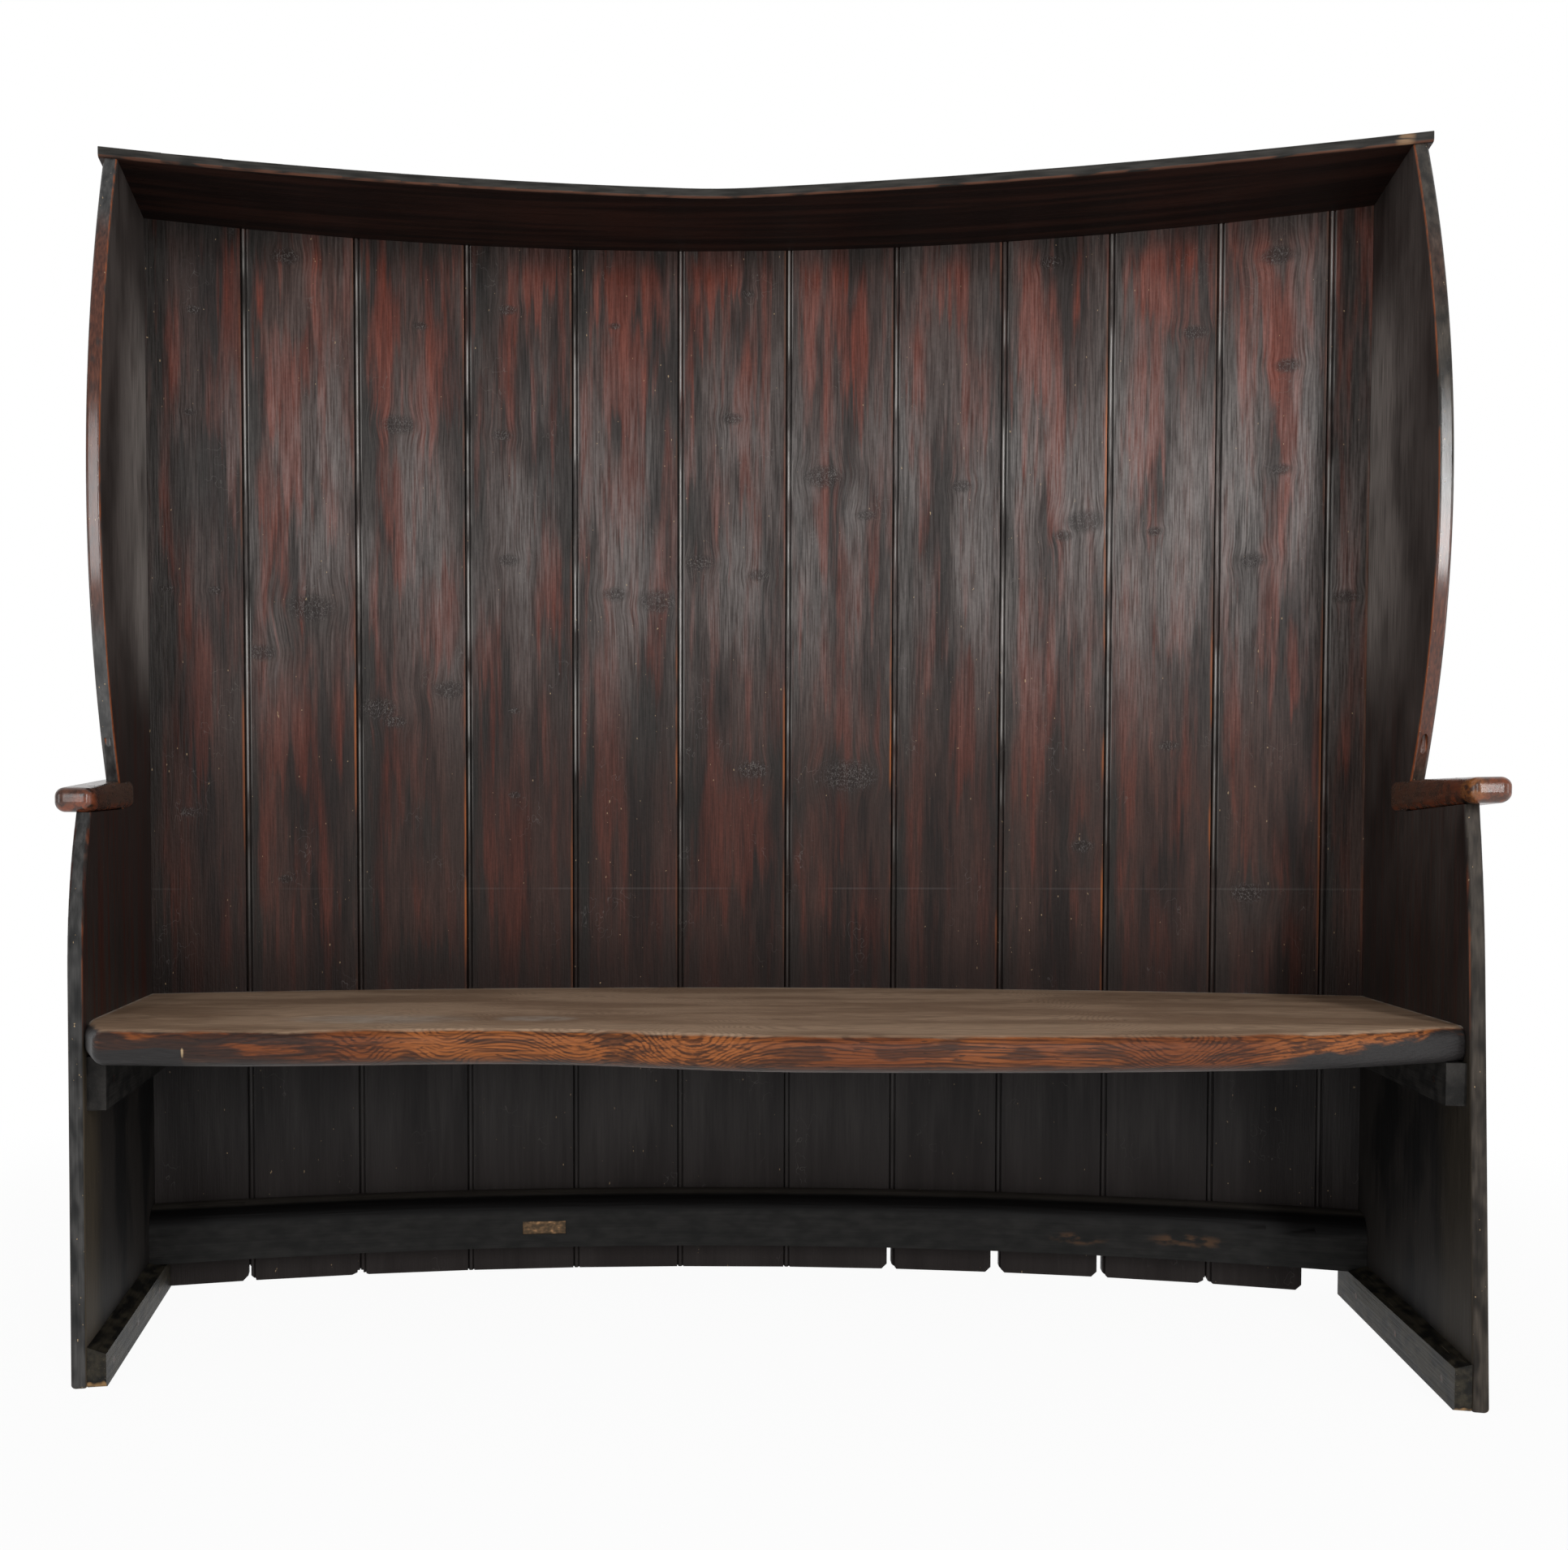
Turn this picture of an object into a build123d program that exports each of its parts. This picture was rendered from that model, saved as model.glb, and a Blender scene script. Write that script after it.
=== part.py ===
from build123d import *
from math import asin, cos, radians, sin, sqrt
import os

os.makedirs("parts", exist_ok=True)

# A curved, high-backed, hooded settle. Millimetres and degrees.
# X runs along the seat, +Y to the back, +Z up, origin on the floor under the middle.

# Whole settle
overall_height = 1590.0
inner_width = 1778.0  # between the sides, at the faces of the back boards
back_bow = 123.0  # how far the middle of the back lies behind its ends
toe_in = 10.8  # turn of each side towards the middle at its front
fit_gap = 0.3  # clearance between pieces that are let in or butted

# Back boards
board_thickness = 20.0
board_widths = (135.0, 164.0, 165.0, 164.0, 163.0, 167.0, 164.0, 162.0, 156.0, 153.0, 150.0, 58.0)
joint_gap = 1.6
bead_radius = 3.2
quirk_width = 1.8
quirk_depth = 4.2
tongue_length = 8.0
tongue_thickness = 6.0
short_board_bottom = 62.0  # the last board is broken off behind the rail

# Gaps worn or broken into the feet of the boards: joint number, width and height
foot_gaps = (
    (1, 4.0, 22.0),
    (2, 9.0, 7.0),
    (7, 7.0, 52.0),
    (8, 13.0, 52.0),
    (9, 8.0, 52.0),
    (10, 6.0, 9.0),
    (11, 34.0, 60.0),
)
foot_gap_flare = 8.0

# Sides
side_thickness = 18.0
wing_top_depth = 165.0
wing_pull_depth = 391.0  # the point that pulls the belly of the wing forward
wing_pull_height = 1084.0
wing_root_depth = 173.0
left_shoulder_depth = 347.0
right_shoulder_depth = 381.0
left_knee_depth = 397.0
right_knee_depth = 408.0
knee_height = 500.0
left_foot_depth = 404.0
right_foot_depth = 442.0
side_edge_ease = 3.5
foot_rounding = 6.0

# Hood
hood_thickness = 15.0
hood_middle_depth = 162.0
hood_middle_offset = -50.0  # the two hollows of the front meet left of the middle
hood_end_overhang = 6.0
hood_back_overhang = 4.0
hood_front_overhang = 3.0
hood_front_hollow = 17.0
hood_middle_rounding = 600.0
hood_edge_ease = 4.0

# Arms
left_arm_height = 723.0  # at the front
right_arm_height = 730.0
left_arm_rise = 26.0  # of the top, from front to back
right_arm_rise = 15.0
left_arm_lift = 16.0  # of the underside, from front to back
right_arm_lift = 1.0
arm_thickness = 30.0  # at the front
arm_width = 47.5
arm_inner_overhang = 5.0
arm_back_depth = 125.0
left_arm_overhang = 8.0  # past the front of the side
right_arm_overhang = 33.0
arm_rounding = 12.0

# Seat
seat_height = 440.0
seat_thickness = 42.0
seat_left_depth = 392.0  # along the sides, from the back corners
seat_corner_depth = 474.0  # the left corner stands in front of its side
seat_corner_inset = 28.0
seat_corner_rounding = 14.0
seat_right_depth = 402.0
seat_reach = 500.0  # from the ends of the back to the foremost point of the front
seat_peak_offset = 60.0  # that point lies to the right of the middle
seat_waist_offset = -245.0
seat_waist_reach = 445.0
seat_left_swell_inset = 289.0  # in from the left end of the back
seat_left_swell_reach = 467.0
seat_right_swell_inset = 324.0
seat_right_swell_reach = 472.0
seat_rounding = 15.0
bearer_width = 22.0
left_bearer_height = 65.0
right_bearer_height = 50.0
left_bearer_setback = 12.0
right_bearer_setback = 2.0

# Foot battens
left_batten_front_width = 22.0
left_batten_back_width = 22.0
right_batten_front_width = 18.0
right_batten_back_width = 27.0
left_batten_height = 50.0
right_batten_height = 56.0
batten_fall = 9.0  # the top slopes down to the inner face
batten_setback = 3.0

# Lower rail and its let-in patch
rail_bottom = 46.0
rail_height = 80.0
rail_thickness = 45.0
rail_rounding = 34.0
patch_length = 65.0
patch_height = 19.0
patch_depth = 8.0
patch_recess = 1.5
patch_offset = -318.0  # along the curve from the middle
patch_level = 76.0

# Nails
nail_radius = 2.0
nail_head_radius = 4.5
nail_head_thickness = 2.0
nail_fit = 0.05
nail_bite = 28.0  # how far a nail goes into the second piece
short_nail_bite = 12.0
nail_margin = 40.0  # from the ends of a piece to its first and last nail
side_nail_count = 5

# Plan of the curve
half_width = inner_width / 2
turn = radians(toe_in)
back_radius = (half_width**2 + back_bow**2) / (2 * back_bow)
half_angle = asin(half_width / back_radius)
back_length = 2 * back_radius * half_angle
board_count = len(board_widths)
board_trim = (back_length - sum(board_widths)) / board_count  # so that the boards fill the curve
overall_depth = seat_reach + back_bow + board_thickness + hood_back_overhang
chord_y = seat_reach - overall_depth / 2
centre_y = chord_y + back_bow - back_radius
board_swell = (max(board_widths) + board_trim) ** 2 / (8 * back_radius)
butt_radius = back_radius - board_swell - fit_gap  # the back of the seat and the rail

# Levels
hood_bottom = overall_height - hood_thickness
seat_bottom = seat_height - seat_thickness
rail_top = rail_bottom + rail_height

# The two ends, which are shaped by hand and differ a little: -1 is the left one, 1 the right one
hands = ((-1, "left"), (1, "right"))
foot_depth = {-1: left_foot_depth, 1: right_foot_depth}
knee_depth = {-1: left_knee_depth, 1: right_knee_depth}
shoulder_depth = {-1: left_shoulder_depth, 1: right_shoulder_depth}
seat_depth = {-1: seat_left_depth, 1: seat_right_depth}
arm_height = {-1: left_arm_height, 1: right_arm_height}
arm_overhang = {-1: left_arm_overhang, 1: right_arm_overhang}
arm_rise = {-1: left_arm_rise, 1: right_arm_rise}
arm_lift = {-1: left_arm_lift, 1: right_arm_lift}
bearer_height = {-1: left_bearer_height, 1: right_bearer_height}
bearer_setback = {-1: left_bearer_setback, 1: right_bearer_setback}
batten_height = {-1: left_batten_height, 1: right_batten_height}
batten_front_width = {-1: left_batten_front_width, 1: right_batten_front_width}
batten_back_width = {-1: left_batten_back_width, 1: right_batten_back_width}


def joint_angles():
    """The turn of each board joint about the centre of the curve, left to right."""
    angles = []
    reach = 0.0
    for width in board_widths[:-1]:
        reach += width + board_trim
        angles.append(reach / back_radius - half_angle)
    return angles


def at_joint(angle, along, behind):
    """A plan point by a joint: along the boards to the right, and behind their faces."""
    reach = back_radius + behind
    x = reach * sin(angle) + along * cos(angle)
    y = centre_y + reach * cos(angle) - along * sin(angle)
    return (x, y)


def on_side(hand, depth, inset):
    """A plan point by a side: depth forward of the back corner, inset from the inner face."""
    x = hand * (half_width - depth * sin(turn) - inset * cos(turn))
    y = chord_y - depth * cos(turn) + inset * sin(turn)
    return (x, y)


def depth_at(hand, radius, inset):
    """The depth at which a line along a side crosses a circle about the centre of the curve."""
    x, y = on_side(hand, 0, inset)
    along = -x * hand * sin(turn) - (y - centre_y) * cos(turn)
    beyond = x**2 + (y - centre_y) ** 2 - radius**2
    return -along - sqrt(along**2 - beyond)


def side_plane(hand, inset=0.0):
    """The inner face of a side: local X is depth, local Y is height."""
    forward = (-hand * sin(turn), -cos(turn), 0)
    across = (-cos(turn), hand * sin(turn), 0)
    return Plane(origin=(*on_side(hand, 0, inset), 0), x_dir=forward, z_dir=across)


def outer_plane(hand, depth, height):
    """A place on the outer face of a side, facing outwards."""
    place = on_side(hand, depth, -side_thickness)
    return Plane(origin=(*place, height), x_dir=(0, 0, 1), z_dir=(hand * cos(turn), -sin(turn), 0))


def inner_plane(hand, depth, inset, height):
    """A place on the inner face of a bearer on a side, facing inwards."""
    place = on_side(hand, depth, inset)
    return Plane(origin=(*place, height), x_dir=(0, 0, 1), z_dir=(-hand * cos(turn), sin(turn), 0))


def batten_width(hand, depth):
    """How wide a foot batten is at a depth, as it tapers from back to front."""
    share = depth / foot_depth[hand]
    return batten_back_width[hand] + share * (batten_front_width[hand] - batten_back_width[hand])


def batten_plane(hand, depth, height):
    """The place of a nail in a foot batten, driven square to the side."""
    return inner_plane(hand, depth, batten_width(hand, depth), height)


def curve_plane(angle, radius, height=0.0):
    """An upright plane on the curve, facing the sitter: local X to the right, local Y up."""
    place = (radius * sin(angle), centre_y + radius * cos(angle), height)
    return Plane(origin=place, x_dir=(cos(angle), -sin(angle), 0), z_dir=(-sin(angle), -cos(angle), 0))


def arm_front(hand):
    """How far forward an arm reaches."""
    return shoulder_depth[hand] + arm_overhang[hand]


def arm_share(hand, depth):
    """How far back along an arm a depth lies: 0 at its front, 1 at its back."""
    return (arm_front(hand) - depth) / (arm_front(hand) - arm_back_depth)


def arm_top(hand, depth):
    return arm_height[hand] + arm_rise[hand] * arm_share(hand, depth)


def arm_ledge(hand, depth):
    """The height of the underside of an arm, which rests on the side."""
    return arm_height[hand] - arm_thickness + arm_lift[hand] * arm_share(hand, depth)


def arm_nail_plane(hand, depth):
    """The place of a nail in an arm, driven square to its sloping top."""
    forward = side_plane(hand).x_dir
    slope = arm_rise[hand] / (arm_front(hand) - arm_back_depth)
    place = on_side(hand, depth, -side_thickness / 2)
    square = (forward.X * slope, forward.Y * slope, 1)
    return Plane(origin=(*place, arm_top(hand, depth)), z_dir=square)


def wing_depth(hand, height):
    """How far forward the front of the wing stands at a height."""
    ledge = arm_ledge(hand, wing_root_depth)
    bend = ledge - 2 * wing_pull_height + hood_bottom
    rise = 2 * (wing_pull_height - ledge)
    drop = ledge - height
    t = -2 * drop / (rise + sqrt(rise**2 - 4 * bend * drop))
    return (1 - t) ** 2 * wing_root_depth + 2 * t * (1 - t) * wing_pull_depth + t**2 * wing_top_depth


def spread(first, last, count):
    """Evenly spaced places from first to last."""
    return [first + (last - first) * step / (count - 1) for step in range(count)]


def nail_holes(planes, length):
    """Holes for flush nails, cut in the piece that is being made."""
    with Locations(*planes):
        CounterBoreHole(
            radius=nail_radius + nail_fit,
            counter_bore_radius=nail_head_radius + nail_fit,
            counter_bore_depth=nail_head_thickness,
            depth=length + nail_fit,
        )


def save(piece, name):
    piece.part.label = name
    export_step(piece.part, f"parts/{name}.step")


def save_nails(planes, length, name):
    top = (Align.CENTER, Align.CENTER, Align.MAX)
    with BuildPart() as nails:
        with Locations(*planes):
            Cylinder(nail_radius, length, align=top)
            Cylinder(nail_head_radius, nail_head_thickness, align=top)
    save(nails, name)


def board_left_edge(number):
    """The left edge of a board from back to front, without its bead."""
    if number == 1:
        return [on_side(-1, -board_thickness, fit_gap), on_side(-1, 0, fit_gap)]
    angle = joints[number - 2]
    edge = joint_gap / 2
    return [
        at_joint(angle, edge, board_thickness),
        at_joint(angle, edge, tongue_back),
        at_joint(angle, -tongue_length, tongue_back),
        at_joint(angle, -tongue_length, tongue_front),
        at_joint(angle, edge, tongue_front),
        at_joint(angle, edge, bead_radius),
    ]


def board_right_edge(number):
    """The right edge of a board from front to back, with the groove for the next tongue."""
    if number == board_count:
        return [on_side(1, 0, fit_gap), on_side(1, -board_thickness, fit_gap)]
    angle = joints[number - 1]
    edge = -joint_gap / 2
    floor = -tongue_length - fit_gap
    return [
        at_joint(angle, edge, 0),
        at_joint(angle, edge, tongue_front - fit_gap),
        at_joint(angle, floor, tongue_front - fit_gap),
        at_joint(angle, floor, tongue_back + fit_gap),
        at_joint(angle, edge, tongue_back + fit_gap),
        at_joint(angle, edge, board_thickness),
    ]


def board_back_plane(number, height):
    """The middle of the back face of a board at a height, facing backwards."""
    left = Vector(*board_left_edge(number)[0])
    right = Vector(*board_right_edge(number)[-1])
    along = right - left
    middle = (left + right) / 2
    backwards = (-along.Y, along.X, 0)
    return Plane(origin=(middle.X, middle.Y, height), x_dir=(along.X, along.Y, 0), z_dir=backwards)


def board_top_plane(number):
    """The place of the hood nail over a board."""
    back = board_back_plane(number, overall_height)
    middle = back.origin - back.z_dir * (board_thickness / 2)
    return Plane(origin=middle, x_dir=(1, 0, 0), z_dir=(0, 0, 1))


joints = joint_angles()
numbers = range(1, board_count + 1)
tongue_front = (board_thickness - tongue_thickness) / 2
tongue_back = tongue_front + tongue_thickness

# Where the nails go
seat_nail_level = seat_height - seat_thickness / 2
rail_nail_level = rail_bottom + rail_height / 2
seat_nail_planes = [board_back_plane(number, seat_nail_level) for number in numbers]
rail_nail_planes = [board_back_plane(number, rail_nail_level) for number in numbers]
hood_nail_planes = [board_top_plane(number) for number in numbers]
side_nail_planes = []
arm_nail_planes = []
bearer_nail_planes = []
batten_nail_planes = []
for hand, _ in hands:
    bearer_level = seat_bottom - bearer_height[hand] / 2
    batten_level = (batten_height[hand] - batten_fall) / 2
    bearer_front = knee_depth[hand] - bearer_setback[hand]
    batten_front = foot_depth[hand] - batten_setback
    for depth in (nail_margin, wing_top_depth - nail_margin):
        place = on_side(hand, depth, -side_thickness / 2)
        hood_nail_planes.append(Plane(origin=(*place, overall_height)))
    for height in spread(rail_top + nail_margin, hood_bottom - nail_margin, side_nail_count):
        side_nail_planes.append(outer_plane(hand, -board_thickness / 2, height))
    for depth in (2 * nail_margin, bearer_front - nail_margin):
        side_nail_planes.append(outer_plane(hand, depth, seat_nail_level))
    side_nail_planes.append(outer_plane(hand, rail_thickness / 2, rail_nail_level))
    for depth in spread(wing_root_depth + nail_margin, shoulder_depth[hand] - nail_margin, 2):
        arm_nail_planes.append(arm_nail_plane(hand, depth))
    for depth in spread(nail_margin, bearer_front - nail_margin, 3):
        bearer_nail_planes.append(inner_plane(hand, depth, bearer_width, bearer_level))
    for depth in spread(rail_thickness + nail_margin, batten_front - nail_margin, 3):
        batten_nail_planes.append(batten_plane(hand, depth, batten_level))
hood_nail_length = hood_thickness + nail_bite
back_nail_length = board_thickness + nail_bite
side_nail_length = side_thickness + nail_bite
arm_nail_length = arm_thickness + nail_bite
bearer_nail_length = bearer_width + short_nail_bite
batten_nail_length = min(batten_front_width.values()) + short_nail_bite

# Back boards
for number in numbers:
    bottom = short_board_bottom if number == board_count else 0.0
    left_edge = board_left_edge(number)
    right_edge = board_right_edge(number)
    with BuildPart() as back_board:
        with BuildSketch(Plane.XY.offset(bottom)):
            with BuildLine():
                if number == 1:
                    Polyline(*left_edge, *right_edge, close=True)
                else:
                    left = joints[number - 2]
                    crown = joint_gap / 2 + bead_radius
                    quirk = crown + bead_radius
                    bead_end = at_joint(left, quirk, bead_radius)
                    Polyline(*left_edge)
                    ThreePointArc(left_edge[-1], at_joint(left, crown, 0), bead_end)
                    Polyline(
                        bead_end,
                        at_joint(left, quirk, quirk_depth),
                        at_joint(left, quirk + quirk_width, quirk_depth),
                        at_joint(left, quirk + quirk_width, 0),
                        *right_edge,
                        left_edge[0],
                    )
            make_face()
        extrude(amount=hood_bottom - bottom)
        for joint, width, height in foot_gaps:
            if joint in (number - 1, number):
                with BuildSketch(curve_plane(joints[joint - 1], back_radius)):
                    with BuildLine():
                        Polyline(
                            (-width / 2 - foot_gap_flare, 0),
                            (width / 2 + foot_gap_flare, 0),
                            (width / 2, min(foot_gap_flare, height / 2)),
                            (width / 2, height),
                            (-width / 2, height),
                            (-width / 2, min(foot_gap_flare, height / 2)),
                            close=True,
                        )
                    make_face()
                extrude(amount=2 * board_thickness, both=True, mode=Mode.SUBTRACT)
        nail_holes([hood_nail_planes[number - 1]], hood_nail_length)
        nail_holes([seat_nail_planes[number - 1], rail_nail_planes[number - 1]], back_nail_length)
        if number in (1, board_count):
            nail_holes(side_nail_planes, side_nail_length)
    save(back_board, f"back_board_{number:02d}")

# Sides
for hand, name in hands:
    plane = side_plane(hand)
    foot = (foot_depth[hand], 0)
    knee = (knee_depth[hand], knee_height)
    shoulder = (shoulder_depth[hand], arm_ledge(hand, shoulder_depth[hand]))
    wing_root = (wing_root_depth, arm_ledge(hand, wing_root_depth))
    wing_top = (wing_top_depth, hood_bottom)
    with BuildPart() as side:
        with BuildSketch(plane):
            with BuildLine():
                Polyline(wing_top, (-board_thickness, hood_bottom), (-board_thickness, 0), foot, knee)
                TangentArc(knee, shoulder, tangent=(knee[0] - foot[0], knee_height))
                Line(shoulder, wing_root)
                Bezier(wing_root, (wing_pull_depth, wing_pull_height), wing_top)
            make_face()
        extrude(amount=-hand * side_thickness)
        low_edges = side.edges().group_by(Axis.Z)[0]
        toe = low_edges.sort_by(Axis(plane.origin, plane.x_dir))[-1]
        outer = low_edges.sort_by(Axis(plane.origin, plane.z_dir * -hand))[-1]
        fillet((toe, outer), foot_rounding)
        shoulder_edges = side.edges().filter_by(GeomType.CIRCLE).sort_by(SortBy.RADIUS)[-2:]
        front_edges = shoulder_edges + side.edges().filter_by(GeomType.BEZIER)
        fillet(front_edges, min(side_edge_ease, side_thickness / 3))
        nail_holes(hood_nail_planes, hood_nail_length)
        nail_holes(side_nail_planes, side_nail_length)
        nail_holes(arm_nail_planes, arm_nail_length)
        nail_holes(bearer_nail_planes, bearer_nail_length)
        nail_holes(batten_nail_planes, batten_nail_length)
    save(side, f"{name}_side")

# Hood
hood_radius = back_radius + board_thickness + hood_back_overhang
hood_inset = -side_thickness - hood_end_overhang
hood_front = wing_top_depth + hood_front_overhang
hood_left_back = on_side(-1, depth_at(-1, hood_radius, hood_inset), hood_inset)
hood_right_back = on_side(1, depth_at(1, hood_radius, hood_inset), hood_inset)
hood_left_front = on_side(-1, hood_front, hood_inset)
hood_right_front = on_side(1, hood_front, hood_inset)
hood_middle = (hood_middle_offset, centre_y + back_radius - hood_middle_depth)
with BuildPart() as hood:
    with BuildSketch(Plane.XY.offset(hood_bottom)) as hood_plan:
        with BuildLine():
            ThreePointArc(hood_left_back, (0, centre_y + hood_radius), hood_right_back)
            Line(hood_right_back, hood_right_front)
            SagittaArc(hood_right_front, hood_middle, -hood_front_hollow)
            SagittaArc(hood_middle, hood_left_front, -hood_front_hollow)
            Line(hood_left_front, hood_left_back)
        make_face()
        meeting = hood_plan.vertices().sort_by_distance((*hood_middle, hood_bottom))[0]
        fillet(meeting, hood_middle_rounding)
    extrude(amount=hood_thickness)
    hood_halfway = centre_y + back_radius - hood_middle_depth / 2
    hood_arcs = hood.edges().filter_by(GeomType.CIRCLE)
    hood_front_arcs = hood_arcs.filter_by(lambda edge: (edge @ 0.5).Y < hood_halfway)
    fillet(hood_front_arcs, min(hood_edge_ease, hood_thickness / 3))
    nail_holes(hood_nail_planes, hood_nail_length)
save(hood, "hood")

# Seat
seat_left_back = on_side(-1, depth_at(-1, butt_radius, fit_gap), fit_gap)
seat_right_back = on_side(1, depth_at(1, butt_radius, fit_gap), fit_gap)
seat_left_front = on_side(-1, seat_depth[-1], fit_gap)
seat_right_front = on_side(1, seat_depth[1], fit_gap)
seat_left_corner = on_side(-1, seat_corner_depth, seat_corner_inset)
seat_waist = (seat_waist_offset, chord_y - seat_waist_reach)
seat_left_swell = (seat_left_swell_inset - half_width, chord_y - seat_left_swell_reach)
seat_right_swell = (half_width - seat_right_swell_inset, chord_y - seat_right_swell_reach)
seat_peak = (seat_peak_offset, chord_y - seat_reach)
with BuildPart() as seat:
    with BuildSketch(Plane.XY.offset(seat_bottom)):
        with BuildLine():
            ThreePointArc(seat_left_back, (0, centre_y + butt_radius), seat_right_back)
            Line(seat_right_back, seat_right_front)
            Spline(
                seat_right_front,
                seat_right_swell,
                seat_peak,
                tangents=((-1, -0.4), (-1, -0.15), (-1, 0)),
            )
            Spline(
                seat_peak,
                seat_waist,
                seat_left_swell,
                seat_left_corner,
                tangents=((-1, 0), (-1, 0.05)),
            )
            Polyline(seat_left_corner, seat_left_front, seat_left_back)
        make_face()
    extrude(amount=seat_thickness)
    corner = seat.edges().filter_by(Axis.Z).sort_by_distance((*seat_left_corner, seat_bottom))[0]
    fillet(corner, seat_corner_rounding)
    fillet(seat.edges().filter_by(GeomType.BSPLINE), min(seat_rounding, 0.4 * seat_thickness))
    nail_holes(seat_nail_planes, back_nail_length)
    nail_holes(side_nail_planes, side_nail_length)
save(seat, "seat")

# Lower rail
rail_radius = butt_radius - rail_thickness
rail_ends = [
    on_side(hand, depth_at(hand, radius, fit_gap), fit_gap)
    for hand, radius in ((-1, butt_radius), (1, butt_radius), (1, rail_radius), (-1, rail_radius))
]
patch_angle = patch_offset / back_radius
patch_plane = curve_plane(patch_angle, rail_radius, patch_level)
with BuildPart() as lower_rail:
    with BuildSketch(Plane.XY.offset(rail_bottom)):
        with BuildLine():
            ThreePointArc(rail_ends[0], (0, centre_y + butt_radius), rail_ends[1])
            Line(rail_ends[1], rail_ends[2])
            ThreePointArc(rail_ends[2], (0, centre_y + rail_radius), rail_ends[3])
            Line(rail_ends[3], rail_ends[0])
        make_face()
    extrude(amount=rail_height)
    top_arcs = lower_rail.edges().filter_by(GeomType.CIRCLE).group_by(Axis.Z)[-1]
    fillet(top_arcs.sort_by(SortBy.RADIUS)[0], min(rail_rounding, 0.8 * rail_thickness))
    with BuildSketch(patch_plane):
        Rectangle(patch_length + 2 * fit_gap, patch_height + 2 * fit_gap)
    extrude(amount=patch_depth, both=True, mode=Mode.SUBTRACT)
    nail_holes(rail_nail_planes, back_nail_length)
    nail_holes(side_nail_planes, side_nail_length)
save(lower_rail, "lower_rail")

# Patch let into the rail
with BuildPart() as rail_patch:
    with BuildSketch(patch_plane.offset(-patch_depth)):
        Rectangle(patch_length, patch_height)
    extrude(amount=patch_depth - patch_recess)
save(rail_patch, "rail_patch")

# Arms
for hand, name in hands:
    front = arm_front(hand)
    back = arm_back_depth
    slot_front = wing_depth(hand, arm_top(hand, wing_root_depth)) + fit_gap
    with BuildPart() as arm:
        with BuildSketch(side_plane(hand, arm_inner_overhang)):
            with BuildLine():
                Polyline(
                    (back, arm_ledge(hand, back)),
                    (front, arm_ledge(hand, front)),
                    (front, arm_top(hand, front)),
                    (back, arm_top(hand, back)),
                    close=True,
                )
            make_face()
        extrude(amount=-hand * arm_width)
        fillet(arm.edges(), min(arm_rounding, 0.4 * arm_thickness))
        with BuildSketch(side_plane(hand, fit_gap)):
            with Locations((slot_front, arm_height[hand])):
                Rectangle(front, 4 * arm_thickness, align=(Align.MAX, Align.CENTER))
        extrude(amount=-hand * (side_thickness + 2 * fit_gap), mode=Mode.SUBTRACT)
        nail_holes(arm_nail_planes, arm_nail_length)
    save(arm, f"{name}_arm")

# Seat bearers
for hand, name in hands:
    bearer_back = depth_at(hand, butt_radius, 0)
    bearer_length = knee_depth[hand] - bearer_setback[hand] - bearer_back
    with BuildPart() as seat_bearer:
        with BuildSketch(side_plane(hand)):
            with Locations((bearer_back, seat_bottom)):
                Rectangle(bearer_length, bearer_height[hand], align=(Align.MIN, Align.MAX))
        extrude(amount=hand * bearer_width)
        nail_holes(bearer_nail_planes, bearer_nail_length)
    save(seat_bearer, f"{name}_seat_bearer")

# Foot battens, notched under the ends of the rail
for hand, name in hands:
    batten_back = depth_at(hand, butt_radius, 0)
    batten_front = foot_depth[hand] - batten_setback
    notch_front = depth_at(hand, rail_radius, 0) + fit_gap
    notch_level = rail_bottom - fit_gap
    widest = max(batten_front_width[hand], batten_back_width[hand])
    forward = side_plane(hand).x_dir
    inward = side_plane(hand).z_dir * hand
    across = Plane(origin=(*on_side(hand, batten_front, 0), 0), x_dir=inward, z_dir=forward * -hand)
    with BuildPart() as foot_batten:
        with BuildSketch(Plane.XY):
            with BuildLine():
                Polyline(
                    on_side(hand, batten_back, 0),
                    on_side(hand, batten_front, 0),
                    on_side(hand, batten_front, batten_width(hand, batten_front)),
                    on_side(hand, batten_back, batten_width(hand, batten_back)),
                    close=True,
                )
            make_face()
        extrude(amount=batten_height[hand])
        with BuildSketch(across):
            with BuildLine():
                Polyline(
                    (0, batten_height[hand]),
                    (2 * widest, batten_height[hand]),
                    (2 * widest, batten_height[hand] - 2 * batten_fall),
                    close=True,
                )
            make_face()
        extrude(amount=2 * batten_front, both=True, mode=Mode.SUBTRACT)
        front_face = foot_batten.faces().sort_by(Axis(across.origin, forward))[-1]
        fillet(front_face.edges().sort_by(Axis.Z)[0], foot_rounding)
        with BuildSketch(side_plane(hand)):
            with Locations((notch_front, notch_level)):
                Rectangle(2 * notch_front, batten_height[hand], align=(Align.MAX, Align.MIN))
        extrude(amount=hand * 2 * widest, mode=Mode.SUBTRACT)
        nail_holes(batten_nail_planes, batten_nail_length)
    save(foot_batten, f"{name}_foot_batten")

# Nails
save_nails(hood_nail_planes, hood_nail_length, "hood_nails")
save_nails(seat_nail_planes, back_nail_length, "seat_nails")
save_nails(rail_nail_planes, back_nail_length, "rail_nails")
save_nails(side_nail_planes, side_nail_length, "side_nails")
save_nails(arm_nail_planes, arm_nail_length, "arm_nails")
save_nails(bearer_nail_planes, bearer_nail_length, "bearer_nails")
save_nails(batten_nail_planes, batten_nail_length, "batten_nails")
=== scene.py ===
from math import asin, cos, e, pi, radians, sin

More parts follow.
